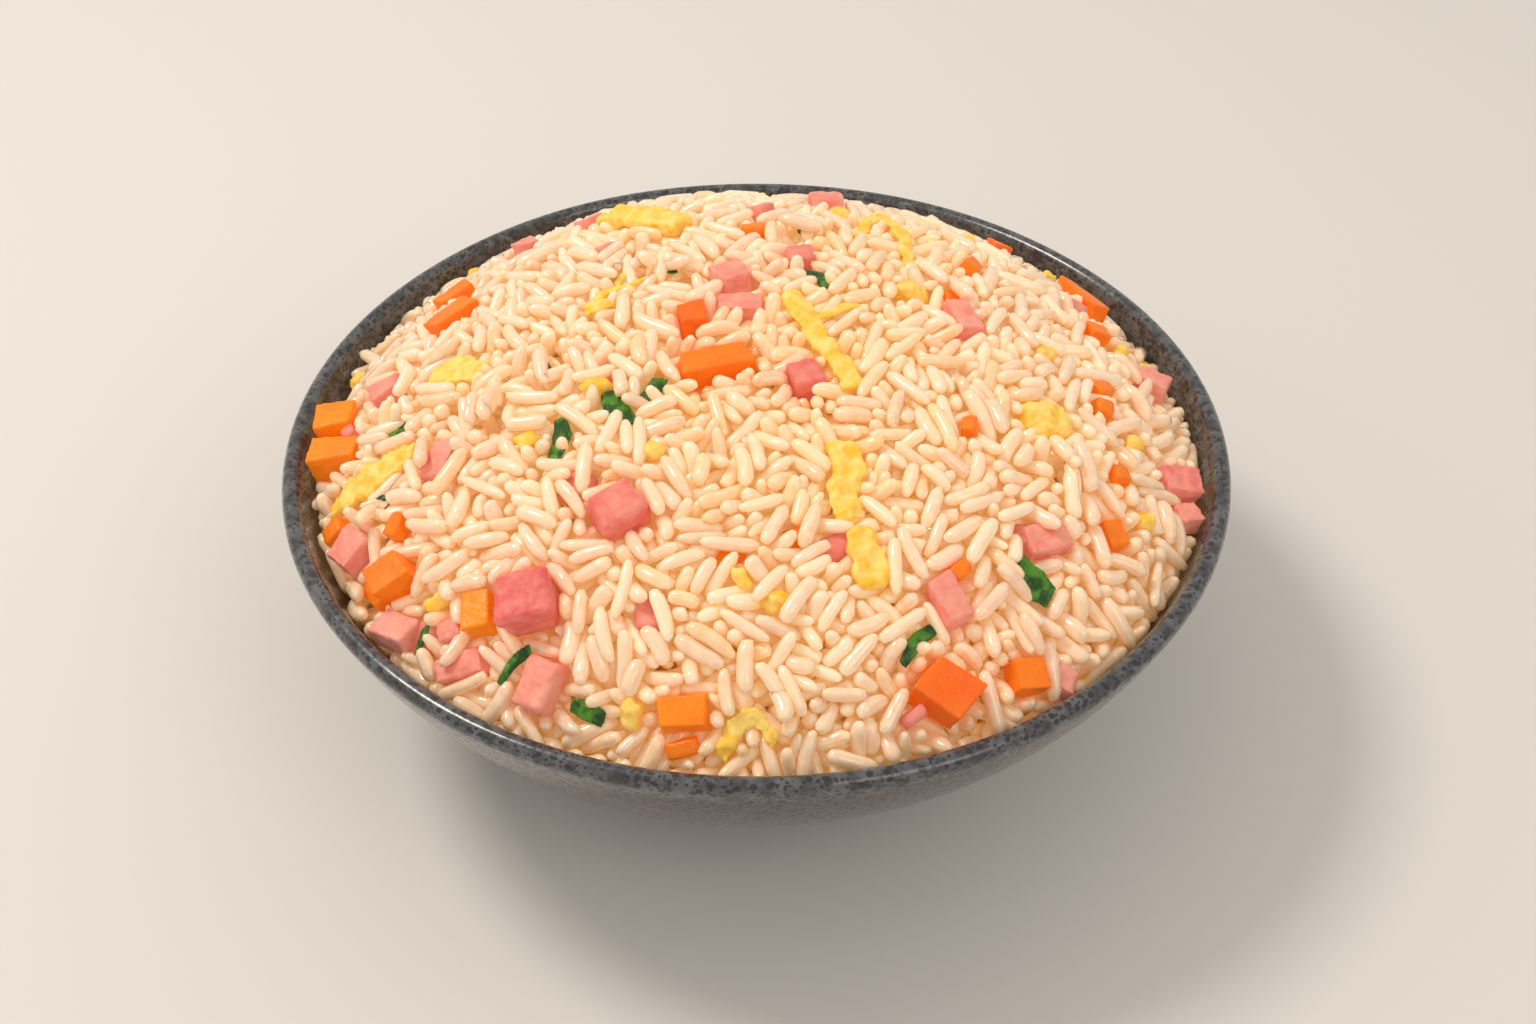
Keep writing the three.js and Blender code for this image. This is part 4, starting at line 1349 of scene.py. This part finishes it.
class FRIEDRICE_OT_ham(bpy.types.Operator):
    """Dices the ham"""

    bl_idname = "fried_rice.ham"
    bl_label = "Ham"

    def execute(self, context):
        dress("ham", ham_material(context.scene.fried_rice_toppings))
        return {"FINISHED"}


class FRIEDRICE_OT_carrot(bpy.types.Operator):
    """Dices the carrot"""

    bl_idname = "fried_rice.carrot"
    bl_label = "Carrot"

    def execute(self, context):
        dress("carrot", carrot_material(context.scene.fried_rice_toppings))
        return {"FINISHED"}


class FRIEDRICE_OT_egg(bpy.types.Operator):
    """Makes the egg's strips, curds and thin shreds"""

    bl_idname = "fried_rice.egg"
    bl_label = "Egg"

    def execute(self, context):
        material = egg_material(context.scene.fried_rice_toppings)
        dress("egg", material)
        thin_shreds("thin_egg", EGG_SHREDS, material)
        return {"FINISHED"}


class FRIEDRICE_OT_scallion(bpy.types.Operator):
    """Slices the scallion's leaves"""

    bl_idname = "fried_rice.scallion"
    bl_label = "Scallion"

    def execute(self, context):
        dress("scallion", scallion_material(context.scene.fried_rice_toppings))
        return {"FINISHED"}


class FRIEDRICE_OT_stage(bpy.types.Operator):
    """Sets the floor, the studio lights and the camera"""

    bl_idname = "fried_rice.stage"
    bl_label = "Stage"

    def execute(self, context):
        settings = context.scene.fried_rice_stage
        make_floor(settings)
        make_lights(context.scene, settings)
        make_camera(context.scene)
        return {"FINISHED"}


# Half the floor's width in millimetres, places of the lights in metres, and the camera's film and near end
FLOOR_HALF = 1500.0
KEY_PLACE = (-0.45, 0.16, 0.8)
FILL_PLACE = (0.45, -0.6, 0.7)
LIGHT_AIM = (0, 0, 0.04)
FILM_WIDTH_MM = 36.0
NEAREST_SEEN = 0.01


def make_floor(settings):
    half = FLOOR_HALF
    corners = [(-half, -half, 0), (half, -half, 0), (half, half, 0), (-half, half, 0)]
    mesh = mesh_of("floor", corners, [(0, 1, 2, 3)])
    mesh.materials.append(floor_material(settings))
    floor = bpy.data.objects.new("floor", mesh)
    bpy.context.scene.collection.objects.link(floor)


def area_light(name, place, size, power, light_colour):
    """A soft light at a place, in metres, aimed at the heap."""
    light = bpy.data.lights.new(name, "AREA")
    light.shape = "DISK"
    light.size = size
    light.energy = power
    light.color = light_colour
    lamp = bpy.data.objects.new(name, light)
    lamp.location = place
    aim = Vector(LIGHT_AIM) - Vector(place)
    lamp.rotation_euler = aim.to_track_quat("-Z", "Y").to_euler()
    bpy.context.scene.collection.objects.link(lamp)


def make_lights(scene, settings):
    area_light("key light", KEY_PLACE, 0.26, settings.key_power, (1.0, 0.91, 0.8))
    area_light("fill light", FILL_PLACE, 0.5, settings.fill_power, (1.0, 0.94, 0.87))
    world = bpy.data.worlds.new("soft room")
    world.use_nodes = True
    background = world.node_tree.nodes["Background"]
    background.inputs["Color"].default_value = colour(1.0, 0.93, 0.86)
    background.inputs["Strength"].default_value = settings.sky
    scene.world = world
    scene.view_settings.view_transform = "Standard"


def make_camera(scene):
    """The camera of the photograph."""
    centre = Vector((PICTURE_SIZE[0] / 2, PICTURE_SIZE[1] / 2))
    right = (AIM_PIXEL[0] - centre.x) / FOCAL_PIXELS
    down = (AIM_PIXEL[1] - centre.y) / FOCAL_PIXELS
    pitch = -CAMERA_ELEVATION + math.atan(down)
    yaw = math.atan(right * math.cos(math.atan(down)))
    camera = bpy.data.cameras.new("camera")
    camera.sensor_width = FILM_WIDTH_MM
    camera.lens = camera.sensor_width * FOCAL_PIXELS / PICTURE_SIZE[0]
    camera.clip_start = NEAREST_SEEN
    viewer = bpy.data.objects.new("camera", camera)
    back = CAMERA_DISTANCE * math.cos(CAMERA_ELEVATION)
    up = AIM_HEIGHT + CAMERA_DISTANCE * math.sin(CAMERA_ELEVATION)
    viewer.location = Vector((0, -back, up)) * MM
    viewer.rotation_euler = (math.pi / 2 + pitch, 0, yaw)
    scene.collection.objects.link(viewer)
    scene.camera = viewer


STEPS = (
    FRIEDRICE_OT_stage,
    FRIEDRICE_OT_bowl,
    FRIEDRICE_OT_ham,
    FRIEDRICE_OT_carrot,
    FRIEDRICE_OT_egg,
    FRIEDRICE_OT_scallion,
    FRIEDRICE_OT_rice,
)
GROUPS = {
    "fried_rice_grains": RiceSettings,
    "fried_rice_toppings": ToppingSettings,
    "fried_rice_bowl": BowlSettings,
    "fried_rice_stage": StageSettings,
}


class FRIEDRICE_PT_panel(bpy.types.Panel):
    """Lists the pieces and their settings"""

    bl_idname = "FRIEDRICE_PT_panel"
    bl_label = "Fried rice"
    bl_space_type = "VIEW_3D"
    bl_region_type = "UI"
    bl_category = "Fried rice"

    def draw(self, context):
        for step in STEPS:
            self.layout.operator(step.bl_idname)
        for name, group in GROUPS.items():
            box = self.layout.box()
            for key in group.__annotations__:
                box.prop(getattr(context.scene, name), key)


def register():
    for kind in (*GROUPS.values(), *STEPS, FRIEDRICE_PT_panel):
        bpy.utils.register_class(kind)
    for name, group in GROUPS.items():
        setattr(bpy.types.Scene, name, PointerProperty(type=group))


def unregister():
    for name in GROUPS:
        delattr(bpy.types.Scene, name)
    for kind in reversed((*GROUPS.values(), *STEPS, FRIEDRICE_PT_panel)):
        bpy.utils.unregister_class(kind)


def main():
    register()
    for step in STEPS:
        group, name = step.bl_idname.split(".")
        getattr(getattr(bpy.ops, group), name)()


if __name__ == "__main__":
    main()
